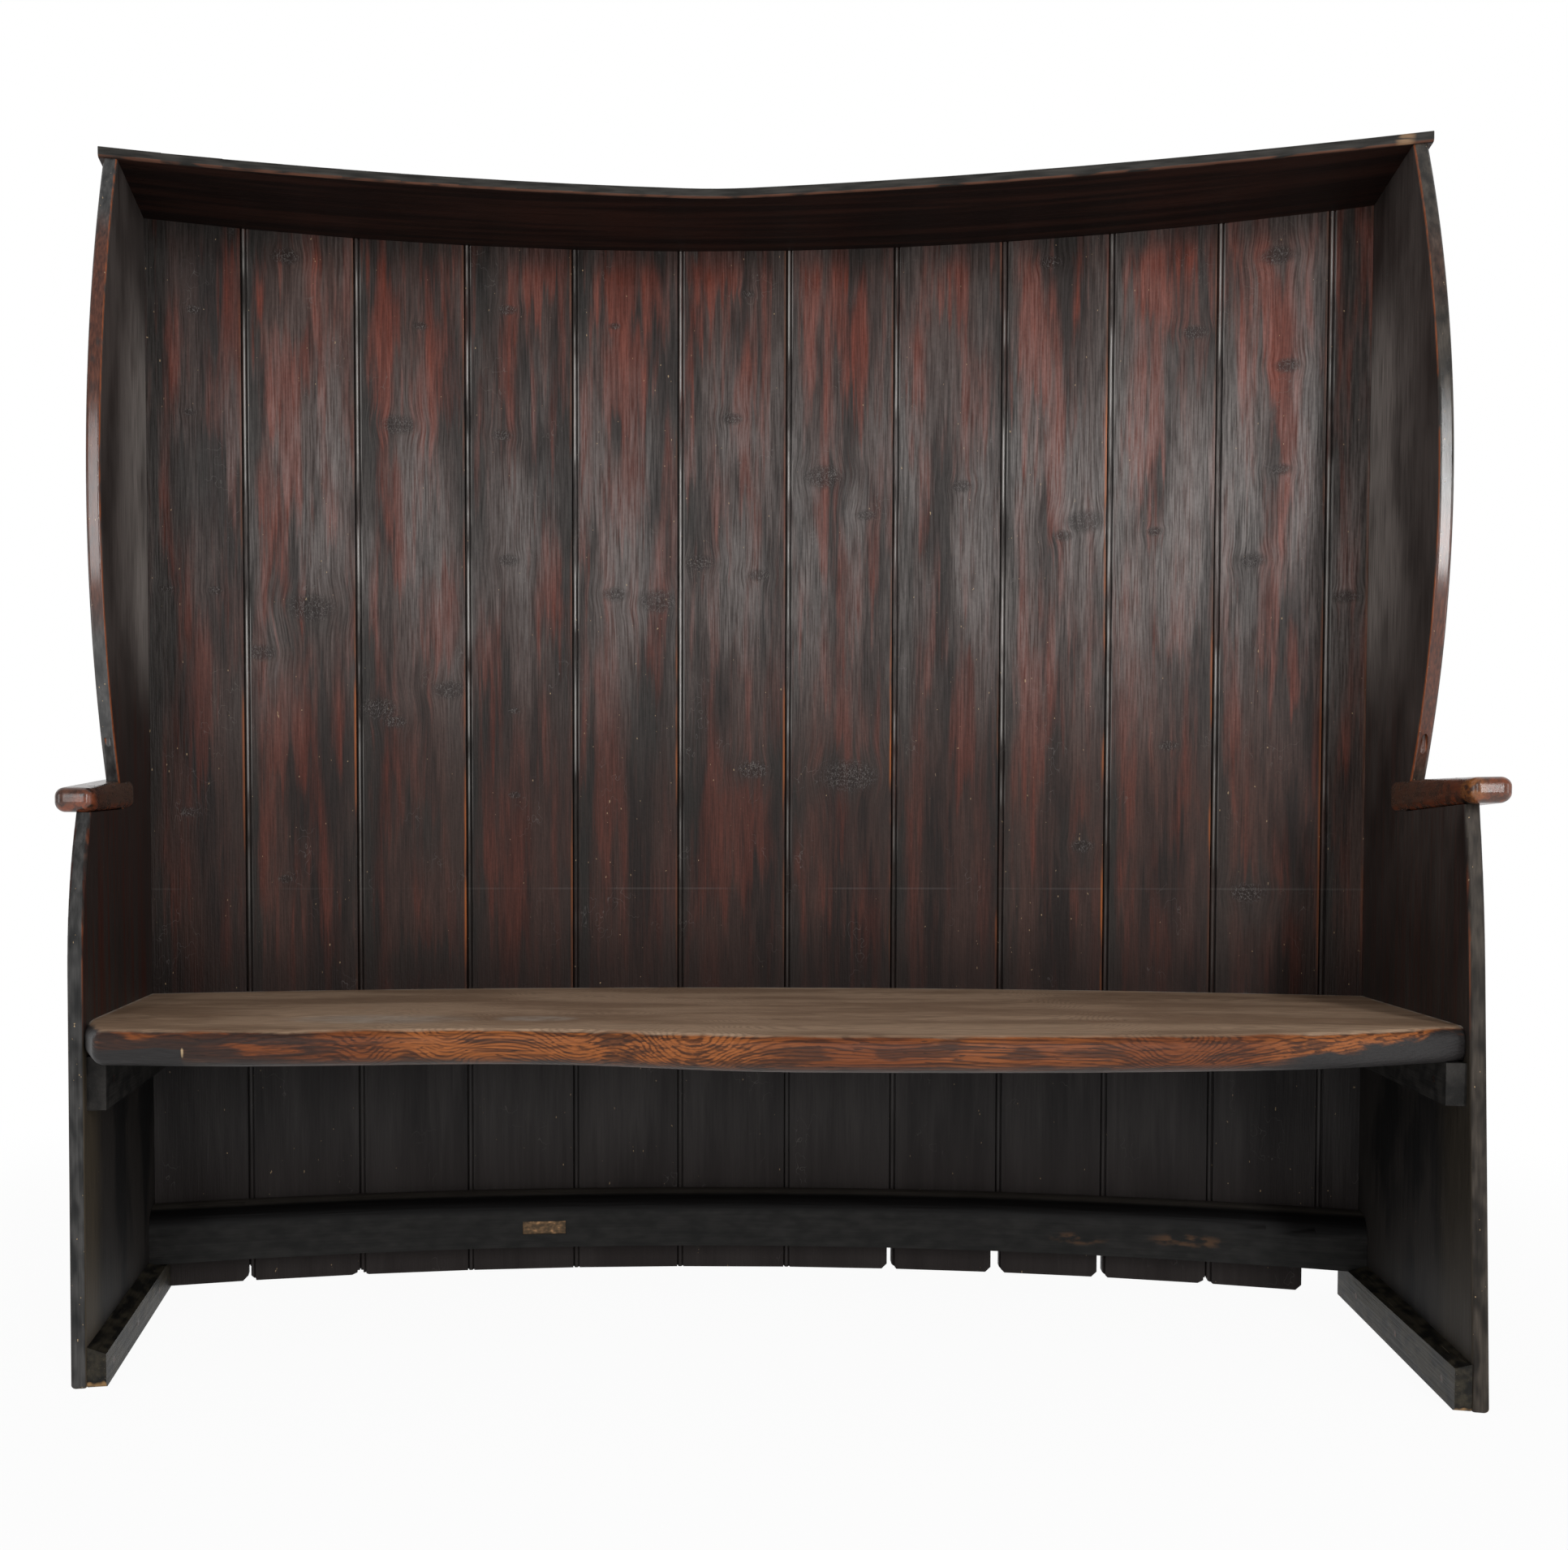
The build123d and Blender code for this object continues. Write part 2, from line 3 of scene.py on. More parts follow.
import bpy
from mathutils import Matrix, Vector

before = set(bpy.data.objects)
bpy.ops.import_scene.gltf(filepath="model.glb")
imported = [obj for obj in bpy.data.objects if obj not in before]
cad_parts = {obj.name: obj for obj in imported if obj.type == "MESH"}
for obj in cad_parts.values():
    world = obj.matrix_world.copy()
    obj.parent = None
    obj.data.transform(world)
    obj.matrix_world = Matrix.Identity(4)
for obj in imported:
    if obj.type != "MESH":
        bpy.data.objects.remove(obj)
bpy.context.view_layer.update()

# A curved, high-backed, hooded settle: its finishes, floor, light and camera.
# Metres, in the frame of the solids: X along the seat, +Y to the back, +Z up.

# Directions in that frame
RIGHT = (1, 0, 0)
BACK = (0, 1, 0)
FRONT = (0, -1, 0)
UP = (0, 0, 1)

# Plan of the curve and the levels, as in the part's source
INNER_WIDTH = 1.778
BACK_BOW = 0.123
CHORD_Y = 0.1765
TOE_IN = radians(10.8)
BOARD_WIDTHS = (0.135, 0.164, 0.165, 0.164, 0.163, 0.167, 0.164, 0.162, 0.156, 0.153, 0.150, 0.058)
BEAD_CENTRE = 0.0040  # across a board from its left joint
QUIRK_CENTRE = 0.0081
QUIRK_EDGE = 0.0092
SEAT_TOP = 0.440
SEAT_BOTTOM = 0.398

BACK_RADIUS = ((INNER_WIDTH / 2) ** 2 + BACK_BOW**2) / (2 * BACK_BOW)
CENTRE_Y = CHORD_Y + BACK_BOW - BACK_RADIUS
HALF_ANGLE = asin(INNER_WIDTH / 2 / BACK_RADIUS)
BOARD_SPREAD = 2 * BACK_RADIUS * HALF_ANGLE / sum(BOARD_WIDTHS)

# What shows on the faces of the boards, read off the photo. A row is the share of the board's
# width from its left edge, the height in metres, and half width and half height in millimetres.
RUBBED_RED = {
    1: ((0.85, 1.43, 15, 70), (0.50, 0.87, 20, 85)),
    2: ((0.40, 1.36, 25, 70), (0.45, 1.25, 12, 85), (0.15, 0.83, 10, 180), (0.35, 0.84, 25, 55)),
    3: ((0.25, 1.41, 18, 85), (0.70, 1.37, 20, 75), (0.40, 1.16, 10, 90), (0.75, 1.02, 25, 50)),
    4: ((0.75, 1.54, 25, 40), (0.45, 0.62, 22, 140)),
    5: ((0.50, 1.52, 35, 55), (0.50, 1.36, 22, 70), (0.55, 1.22, 18, 75), (0.30, 0.82, 18, 140)),
    6: ((0.35, 1.55, 35, 40), (0.60, 1.30, 10, 110), (0.50, 0.68, 50, 90)),
    7: ((0.30, 1.53, 30, 60), (0.65, 1.42, 10, 90), (0.50, 1.08, 10, 75), (0.60, 0.84, 15, 60)),
    8: ((0.55, 1.51, 12, 60), (0.30, 1.40, 12, 50), (0.65, 0.86, 18, 80)),
    9: ((0.35, 1.43, 18, 70), (0.50, 1.20, 12, 75), (0.45, 0.87, 20, 65)),
    10: ((0.50, 1.50, 30, 60), (0.40, 1.32, 16, 70), (0.20, 0.83, 16, 150)),
    11: ((0.55, 1.42, 22, 100), (0.60, 1.26, 14, 35), (0.65, 0.93, 12, 50)),
    12: (),
}
# Waxy bloom together with painted sheen where the lamps shine, in the same rows
WAX_BLOOM_AND_SHEEN = {
    1: ((0.75, 1.33, 20, 120),),
    2: ((0.75, 1.30, 18, 85), (0.65, 1.12, 30, 75)),
    3: ((0.65, 1.12, 25, 110),),
    4: ((0.65, 1.36, 18, 60), (0.65, 1.16, 25, 75)),
    5: ((0.60, 1.26, 20, 100), (0.60, 1.09, 28, 75)),
    6: ((0.50, 1.34, 30, 75), (0.55, 1.05, 35, 90)),
    7: ((0.55, 1.16, 25, 50), (0.20, 1.05, 25, 140)),
    8: ((0.15, 1.31, 12, 120), (0.75, 1.10, 22, 100)),
    9: ((0.15, 1.30, 12, 110), (0.65, 1.20, 25, 85)),
    10: ((0.15, 1.33, 22, 130), (0.65, 1.07, 25, 85)),
    11: ((0.80, 1.33, 14, 200), (0.25, 1.10, 22, 150)),
    12: (),
}
DARK_STAINS = {
    1: ((0.20, 0.95, 22, 70), (0.40, 1.19, 18, 70)),
    2: ((0.40, 0.98, 50, 30),),
    3: ((0.70, 0.48, 75, 25), (0.60, 0.68, 22, 45)),
    4: ((0.20, 1.54, 25, 70),),
    5: ((0.60, 0.84, 25, 75),),
    6: ((0.70, 0.78, 40, 25),),
    7: ((0.60, 0.77, 50, 35),),
    8: ((0.90, 1.50, 16, 75),),
    9: ((0.80, 0.65, 30, 40),),
    10: ((0.70, 1.42, 18, 75),),
    11: ((0.25, 1.14, 16, 60), (0.45, 0.58, 40, 40)),
    12: ((0.60, 1.00, 30, 120), (0.50, 1.35, 60, 250)),
}
# Knots: share of the width, height in metres and size in millimetres
KNOTS = {
    1: ((0.50, 1.45, 7), (0.45, 1.30, 6), (0.70, 1.04, 7), (0.20, 1.04, 7), (0.40, 0.71, 8)),
    2: ((0.40, 1.54, 14), (0.60, 1.02, 24), (0.15, 0.95, 14), (0.35, 0.61, 7)),
    3: ((0.40, 1.30, 17), (0.60, 1.45, 7), (0.20, 0.87, 19), (0.35, 0.85, 11), (0.85, 0.90, 16)),
    4: ((0.40, 1.48, 9), (0.35, 1.29, 10), (0.40, 1.10, 11), (0.45, 0.87, 6), (0.45, 0.74, 6)),
    5: ((0.40, 1.46, 6), (0.80, 1.04, 21), (0.40, 1.05, 13)),
    6: ((0.65, 1.51, 7), (0.50, 1.32, 11), (0.20, 1.10, 15), (0.75, 1.08, 11), (0.70, 0.78, 16)),
    7: ((0.35, 1.23, 20), (0.75, 1.17, 10), (0.60, 0.77, 27)),
    8: ((0.65, 1.21, 11),),
    9: ((0.45, 1.54, 11), (0.80, 1.15, 20), (0.60, 1.13, 10), (0.80, 0.66, 11)),
    10: ((0.80, 1.42, 12), (0.45, 1.13, 8), (0.60, 0.81, 9)),
    11: ((0.55, 1.52, 16), (0.65, 1.36, 12), (0.60, 1.21, 10), (0.35, 1.08, 13), (0.35, 0.59, 16)),
    12: ((0.50, 1.02, 12),),
}
# How far the stain is worn off along the right edge of a board, and over which heights
WORN_EDGES = {
    1: (0.5, 0.62, 0.90), 2: (0.9, 0.76, 0.93), 3: (1.0, 0.45, 0.92), 4: (0.3, 0.45, 0.70),
    5: (0.8, 0.74, 0.92), 6: (0.7, 0.74, 0.88), 7: (1.0, 0.62, 0.95), 8: (0.4, 0.50, 0.86),
    9: (0.9, 0.45, 1.35), 10: (0.8, 0.62, 0.96), 11: (0.3, 0.45, 1.30), 12: (0.0, 0.45, 0.90),
}
# How much waxy bloom and painted sheen a board has, more or less than most, and how light its stain is
STAINED = {
    1: (-0.03, 0.75), 2: (-0.01, 0.97), 3: (0.00, 0.86), 4: (0.01, 0.71), 5: (0.06, 0.77), 6: (0.03, 0.79),
    7: (0.03, 0.81), 8: (0.05, 0.80), 9: (0.06, 0.96), 10: (0.10, 1.08), 11: (0.05, 1.12), 12: (0.00, 1.25),
}
# How far the soft edge of a mark or a knot reaches, for each millimetre of its row
MARK_WIDTH = 0.0014
MARK_HEIGHT = 0.0013
KNOT_WIDTH = 0.0014
KNOT_HEIGHT = 0.0008
# Heights between which the look of the boards changes
REDDER_UP = (0.70, 1.15)
# Heights where the painted sheen on the boards fades in and fades out
PAINTED_SHEEN_STARTS = (0.72, 1.10)
PAINTED_SHEEN_ENDS = (1.20, 1.50)
HOOD_SHADE_BAND = (1.53, 1.57)
BEAD_HIGHLIGHT_UP = (0.55, 1.00)
SHADE_ABOVE_SEAT = (SEAT_TOP, SEAT_TOP + 0.14)
UNDER_SEAT = (SEAT_BOTTOM - 0.01, SEAT_TOP)
SHADE_BY_RAIL = (0.12, 0.26)
SCUFF_LEVEL = 0.595

SCREEN_GAMMA = 2.2


def tone(red, green, blue):
    """A colour as it looks on a screen, 0 to 255, as shader values."""
    return tuple((part / 255) ** SCREEN_GAMMA for part in (red, green, blue)) + (1.0,)


BLACK_STAIN = tone(42, 35, 33)
BROWN_STAIN = tone(72, 54, 49)
COOL_STAIN_AND_SHADE = tone(48, 47, 45)
RED_WOOD = tone(110, 52, 38)
BRIGHT_RED = tone(148, 66, 44)
GREY_BLOOM_AND_SHEEN = tone(122, 117, 115)
PAINTED_BEAD_HIGHLIGHT = tone(170, 166, 162)
SOOT_AND_SHADE = tone(34, 26, 24)
CHARCOAL = tone(72, 69, 68)
UNDER_BLACK = tone(48, 46, 46)
BARE_ORANGE = tone(176, 100, 52)
BARE_PALE = tone(200, 172, 134)
CHIPPED_WOOD = tone(190, 150, 104)
REAR_TONES = (tone(50, 44, 40), tone(80, 71, 62))


class Value:
    """A socket of a finish that takes part in Python arithmetic."""

    def __init__(self, finish, socket):
        self.finish = finish
        self.socket = socket

    def combine(self, operation, first, second):
        return self.finish.node("ShaderNodeMath", {"operation": operation}, {0: first, 1: second})

    def __add__(self, other):
        return self.combine("ADD", self, other)

    def __sub__(self, other):
        return self.combine("SUBTRACT", self, other)

    def __rsub__(self, other):
        return self.combine("SUBTRACT", other, self)

    def __mul__(self, other):
        return self.combine("MULTIPLY", self, other)

    def __truediv__(self, other):
        return self.combine("DIVIDE", self, other)

    def __rpow__(self, other):
        return self.combine("POWER", other, self)

    def __or__(self, other):
        """The larger of two masks."""
        return self.combine("MAXIMUM", self, other)

    def __abs__(self):
        return self.combine("ABSOLUTE", self, 0.0)

    __radd__ = __add__
    __rmul__ = __mul__
    __ror__ = __or__


class Finish:
    """The node tree of a material or of the world, and what its patterns are made of."""

    def __init__(self, owner):
        self.owner = owner
        owner.use_nodes = True
        self.tree = owner.node_tree

    def feed(self, node, sockets):
        """Links the sockets that take a value of the tree, and sets the others."""
        for name, value in sockets.items():
            if isinstance(value, Value):
                self.tree.links.new(value.socket, node.inputs[name])
            else:
                node.inputs[name].default_value = value

    def node(self, kind, settings, sockets, output=0):
        made = self.tree.nodes.new(kind)
        for name, setting in settings.items():
            setattr(made, name, setting)
        self.feed(made, sockets)
        return Value(self, made.outputs[output])

    def place(self):
        """The point being shaded, in the frame of the solids."""
        return self.node("ShaderNodeTexCoord", {}, {}, "Object")

    def along(self, place, direction, start=(0, 0, 0)):
        """How far a point lies along a direction, from a start."""
        settings = {"operation": "DOT_PRODUCT"}
        length = self.node("ShaderNodeVectorMath", settings, {0: place, 1: direction}, "Value")
        return length - Vector(start).dot(Vector(direction))

    def facing(self, direction):
        """How squarely the surface faces a direction, -1 to 1."""
        return self.along(self.node("ShaderNodeNewGeometry", {}, {}, "Normal"), direction)

    def noise(self, x, y, z, detail=1.0):
        """Soft noise over coordinates that are already scaled."""
        vector = self.node("ShaderNodeCombineXYZ", {}, {0: x, 1: y, 2: z})
        return self.node("ShaderNodeTexNoise", {}, {"Vector": vector, "Scale": 1.0, "Detail": detail})

    def rise(self, value, low, high):
        """A soft step from 0 at low to 1 at high."""
        sockets = {"Value": value, "From Min": low, "From Max": high}
        return self.node("ShaderNodeMapRange", {"interpolation_type": "SMOOTHSTEP"}, sockets)

    def fall(self, value, low, high):
        """A soft step from 1 at low to 0 at high."""
        sockets = {"Value": value, "From Min": low, "From Max": high, "To Min": 1.0, "To Max": 0.0}
        return self.node("ShaderNodeMapRange", {"interpolation_type": "SMOOTHSTEP"}, sockets)

    def band(self, value, low, high, soft):
        """1 between low and high, with soft ends outside them."""
        return self.rise(value, low - soft, low) * self.fall(value, high, high + soft)

    def mix(self, mask, first, second):
        """The first colour, with the second one where the mask is 1."""
        sockets = {"Factor": mask, 6: first, 7: second}
        return self.node("ShaderNodeMix", {"data_type": "RGBA"}, sockets, 2)

    def shade(self, colour, level):
        """A colour made lighter or darker."""
        return self.node("ShaderNodeVectorMath", {"operation": "SCALE"}, {0: colour, "Scale": level})

    def spot(self, across, height, place, level, half_width, half_height):
        """A soft oval mark."""
        x = (across - place) / half_width
        z = (height - level) / half_height
        return self.fall(x * x + z * z, 0.0, 1.6)

    def spots(self, across, height, rows):
        """Soft oval marks; a row is place, level, half width and half height."""
        found = 0.0
        for row in rows:
            found = self.spot(across, height, *row) | found
        return found

    def surface(self, colour, roughness, relief, depth, sheen, coat=0.0, coat_roughness=0.25):
        """Feeds the shader of a material; the depth of its relief is in metres."""
        bump = self.node("ShaderNodeBump", {}, {"Strength": 1.0, "Distance": depth, "Height": relief})
        sockets = {"Base Color": colour, "Roughness": roughness, "Specular IOR Level": sheen}
        sockets |= {"Coat Weight": coat, "Coat Roughness": coat_roughness, "Normal": bump}
        self.feed(self.tree.nodes["Principled BSDF"], sockets)


def new_finish(name):
    return Finish(bpy.data.materials.new(name))


def straight_places(finish):
    """Places along the seat, towards the back and up."""
    place = finish.place()
    return [finish.along(place, direction) for direction in (RIGHT, BACK, UP)]


def dress(node, finish):
    """Gives a node of the frame its finish."""
    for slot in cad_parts[node].material_slots:
        slot.material = finish.owner


# Back boards

def joint_angles():
    """The turn of the ends of the curve and of each joint about its centre, left to right."""
    angles = [-HALF_ANGLE]
    for width in BOARD_WIDTHS:
        angles.append(angles[-1] + width * BOARD_SPREAD / BACK_RADIUS)
    return angles


JOINTS = joint_angles()


def board_finish(number):
    """Dark stain on pine, rubbed back to red, with waxy bloom, knots and worn arrises, and painted sheen,
    highlights and shade.
    """
    finish = new_finish(f"stained_board_{number:02d}")
    place = finish.place()
    left, right = JOINTS[number - 1], JOINTS[number]
    turn = (left + right) / 2
    width = BACK_RADIUS * (right - left)
    corner = (BACK_RADIUS * sin(left), CENTRE_Y + BACK_RADIUS * cos(left), 0)
    across = finish.along(place, (cos(turn), -sin(turn), 0), corner)
    height = finish.along(place, UP)
    seed = number * 3.7

    def grain(across_scale, height_scale, layer, detail=2.0):
        return finish.noise(across * across_scale, seed + layer, height * height_scale, detail)

    # The grain parts round the knots
    parted = across
    knots = 0.0
    for share, level, size in KNOTS[number]:
        aside = across - share * width
        x = aside / (size * KNOT_WIDTH)
        z = (height - level) / (size * KNOT_HEIGHT)
        reach = x * x + z * z
        parted = parted - aside * (e ** (reach * -0.35)) * 0.3
        knots = finish.fall(reach, 0.1, 1.9) | knots
    fibre = finish.noise(parted * 480, seed, height * 20, detail=4.0)
    strands = finish.noise(parted * 110, seed + 2, height * 6, detail=4.0)
    crackle = grain(300, 190, 8, detail=3.0)
    # Marks keep to the grain: their ends are ragged and their sides sway
    ragged = height + (strands - 0.5) * 0.22
    mottle = finish.noise(across * 40, seed + 4, ragged * 4.5, detail=6.0) * 0.7 + strands * 0.3
    clouds = finish.noise(across * 17, seed + 6, ragged * 3, detail=6.0) * 0.75 + strands * 0.25
    swaying = across + (clouds - 0.5) * 0.08
    upper = finish.rise(height, *REDDER_UP)
    painted_sheen_band = finish.rise(height, *PAINTED_SHEEN_STARTS) * (0.35 + 0.65 * finish.fall(height, *PAINTED_SHEEN_ENDS))

    def marks(rows):
        sized = [(share * width, level, x * MARK_WIDTH, z * MARK_HEIGHT) for share, level, x, z in rows]
        return finish.spots(swaying, ragged, sized)

    waxed_and_sheen, lightness = STAINED[number]
    red = finish.rise(mottle + 0.13 * marks(RUBBED_RED[number]), 0.46, 0.66)
    # Waxy bloom with a painted grey sheen, strongest in the band of heights where the lamps shine
    bloom_and_sheen = finish.rise(clouds + 0.12 * marks(WAX_BLOOM_AND_SHEEN[number]) + waxed_and_sheen, 0.42, 0.70)
    bloom_and_sheen = (0.25 + 0.75 * bloom_and_sheen) * painted_sheen_band * finish.rise(fibre, 0.15, 0.65)
    edge = finish.fall(across + (mottle - 0.5) * 0.08, 0.012, 0.036)
    far_edge = finish.rise(across + (clouds - 0.5) * 0.08, width - 0.03, width - 0.008) * 0.6
    # Painted shade in a band just under the hood, joined to the dark stains
    hood_shade = finish.rise(height + (mottle - 0.5) * 0.05, *HOOD_SHADE_BAND) * 0.8
    blotches = finish.fall(mottle, 0.34, 0.48) * (0.1 + 0.2 * upper)
    dark_stain_and_shade = marks(DARK_STAINS[number]) * 0.8 | blotches | edge | far_edge | hood_shade

    colour = finish.mix(finish.rise(clouds, 0.37, 0.6), BLACK_STAIN, BROWN_STAIN)
    colour = finish.mix(red * (0.32 + 0.38 * upper), colour, RED_WOOD)
    colour = finish.mix(red * finish.rise(strands, 0.45, 0.7) * (0.05 + 0.3 * upper), colour, BRIGHT_RED)
    colour = finish.mix(dark_stain_and_shade * 0.7, colour, COOL_STAIN_AND_SHADE)
    colour = finish.mix(bloom_and_sheen * 0.66, colour, GREY_BLOOM_AND_SHEEN)
    colour = finish.shade(colour, (1.5 * fibre + 0.5 * crackle) * (1.06 + 0.04 * upper) * lightness)

    # Knots, with grey cracks across them
    cracks = finish.fall(abs(grain(300, 160, 10) - 0.5), 0.0, 0.03)
    colour = finish.mix(knots * 0.7, colour, BLACK_STAIN)
    colour = finish.mix(knots * cracks * 0.8, colour, GREY_BLOOM_AND_SHEEN)

    # Worn arrises by the joint
    share, lower, higher = WORN_EDGES[number]
    patchy = finish.rise(grain(60, 7, 12), 0.4, 0.62)
    worn = finish.band(height, lower, higher, 0.06) * share * 0.7 + 0.15
    arris = finish.rise(across, width - 0.005, width - 0.0018)
    colour = finish.mix(arris * patchy * worn, colour, BARE_ORANGE)

    # A painted highlight in silver on the crown of the bead and on the arris on the other side of its
    # quirk, which are also polished
    polish_and_highlight = 0.0
    if number > 1:
        lit = finish.rise(grain(9, 7, 14, detail=4.0), 0.4, 0.6)
        lit = lit * (0.2 + 0.8 * finish.rise(height, *BEAD_HIGHLIGHT_UP))
        quirk = finish.fall(abs(across - QUIRK_CENTRE), 0.0007, 0.0012)
        hollow = finish.fall(across, 0.0008, 0.0018) | quirk
        colour = finish.mix(hollow * 0.8, colour, SOOT_AND_SHADE)
        crown = finish.fall(abs(across - BEAD_CENTRE), 0.0006, 0.0018)
        beside = finish.fall(abs(across - QUIRK_EDGE), 0.0005, 0.0012)
        polish_and_highlight = (crown | beside * 0.6) * lit
        colour = finish.mix(polish_and_highlight * 0.7, colour, PAINTED_BEAD_HIGHLIGHT)

    # Painted shade just above the seat, matt charcoal under it, with painted shade darker by the rail
    colour = finish.mix(finish.fall(height, *SHADE_ABOVE_SEAT) * 0.7, colour, SOOT_AND_SHADE)
    under = finish.fall(height, *UNDER_SEAT)
    low = finish.mix(finish.rise(clouds, 0.3, 0.7), UNDER_BLACK, CHARCOAL)
    low = finish.mix(finish.fall(height, *SHADE_BY_RAIL) * 0.6, low, SOOT_AND_SHADE)
    colour = finish.mix(under, colour, finish.shade(low, 0.7 + 0.6 * fibre))

    # An old straight scuff, scratches, and nicks down to bare wood
    scuff = finish.fall(abs(height - SCUFF_LEVEL), 0.0006, 0.002) * finish.rise(grain(8, 3, 18), 0.4, 0.6)
    colour = finish.mix(scuff * 0.15, colour, GREY_BLOOM_AND_SHEEN)
    scratched = finish.rise(grain(14, 9, 22), 0.58, 0.66)
    scratches = finish.fall(abs(grain(45, 30, 20) - 0.5), 0.0, 0.007) * scratched
    colour = finish.mix(scratches * 0.35, colour, GREY_BLOOM_AND_SHEEN)
    nicks = finish.rise(grain(260, 120, 16, detail=1.0), 0.79, 0.81)
    colour = finish.mix(nicks * 0.6, colour, BARE_PALE)

    # The back was never polished: plain stain, with dust
    rear = finish.rise(finish.facing((sin(turn), cos(turn), 0)), 0.5, 0.8)
    plain = finish.mix(finish.rise(clouds, 0.35, 0.65), *REAR_TONES)
    colour = finish.mix(rear, colour, finish.shade(plain, 0.4 + 1.2 * fibre))

    relief = fibre + 0.5 * crackle
    roughness = 0.42 + 0.2 * (fibre - 0.5) - 0.12 * polish_and_highlight + 0.2 * under
    coat = (0.35 * bloom_and_sheen | polish_and_highlight) * (1 - rear)
    finish.surface(colour, roughness, relief, depth=0.0006, sheen=0.15, coat=coat)
    return finish


for number in range(1, len(BOARD_WIDTHS) + 1):
    dress(f"back_board_{number:02d}", board_finish(number))


# Sides, and what is fixed to them

HANDS = {"left": -1, "right": 1}
# Where the front edge of each wing is worn to brown: lowest and highest, and how strongly
WING_WEAR = {-1: ((0.98, 1.43, 0.9),), 1: ((0.80, 1.03, 1.0), (1.38, 1.40, 0.3))}
# How much of the olive wood shows on the face of each side under the front of the seat
OLIVE_SHARE = {-1: 0.7, 1: 0.3}
# How red the face of each side is by the seat
RED_SHARE = {-1: 0.8, 1: 0.35}
# Between which levels the painted sheen on the face of each wing starts
PAINTED_SHEEN_LEVELS = {-1: (0.72, 1.0), 1: (0.45, 0.8)}
# The dark and the light of the front edge of each side
EDGE_TONES = {-1: (tone(44, 44, 44), tone(74, 73, 72)), 1: (tone(40, 37, 34), tone(72, 66, 60))}
# Heights on a side, and depths in front of the curve's chord, between which its look changes
WING_STARTS = (0.70, 0.72)
RED_ENDS = (0.75, 0.95)
ARRIS_STARTS = (0.40, 0.50)
ARRIS_BARED = (0.75, 0.98)
SHEEN_PATCH_HEIGHTS = (1.02, 1.30)
SHEEN_PATCH_DEPTHS = (0.02, 0.24)
OLIVE_DEPTHS = (0.30, 0.37)

SIDE_TONES = (tone(50, 45, 43), tone(88, 82, 79))
SIDE_DUST_AND_SHEEN = tone(160, 153, 148)
SIDE_RED = tone(66, 38, 32)
SIDE_LOW_TONES = (tone(26, 25, 25), tone(46, 43, 41))
OLIVE_WOOD = tone(80, 71, 58)
OUTER_TONES = (tone(44, 39, 36), tone(72, 63, 56))
WORN_TONES = (tone(58, 31, 24), tone(104, 60, 42))
WORN_ARRIS = tone(140, 76, 44)


def end_directions(hand):
    """Forward along a side, and inward from it."""
    return (-hand * sin(TOE_IN), -cos(TOE_IN), 0), (-hand * cos(TOE_IN), sin(TOE_IN), 0)


def end_places(finish, hand):
    """Depth forward along a side, inset from its inner face, and height."""
    place = finish.place()
    forward, inward = end_directions(hand)
    corner = (hand * INNER_WIDTH / 2, CHORD_Y, 0)
    depth = finish.along(place, forward, corner)
    inset = finish.along(place, inward, corner)
    return depth, inset, finish.along(place, UP)


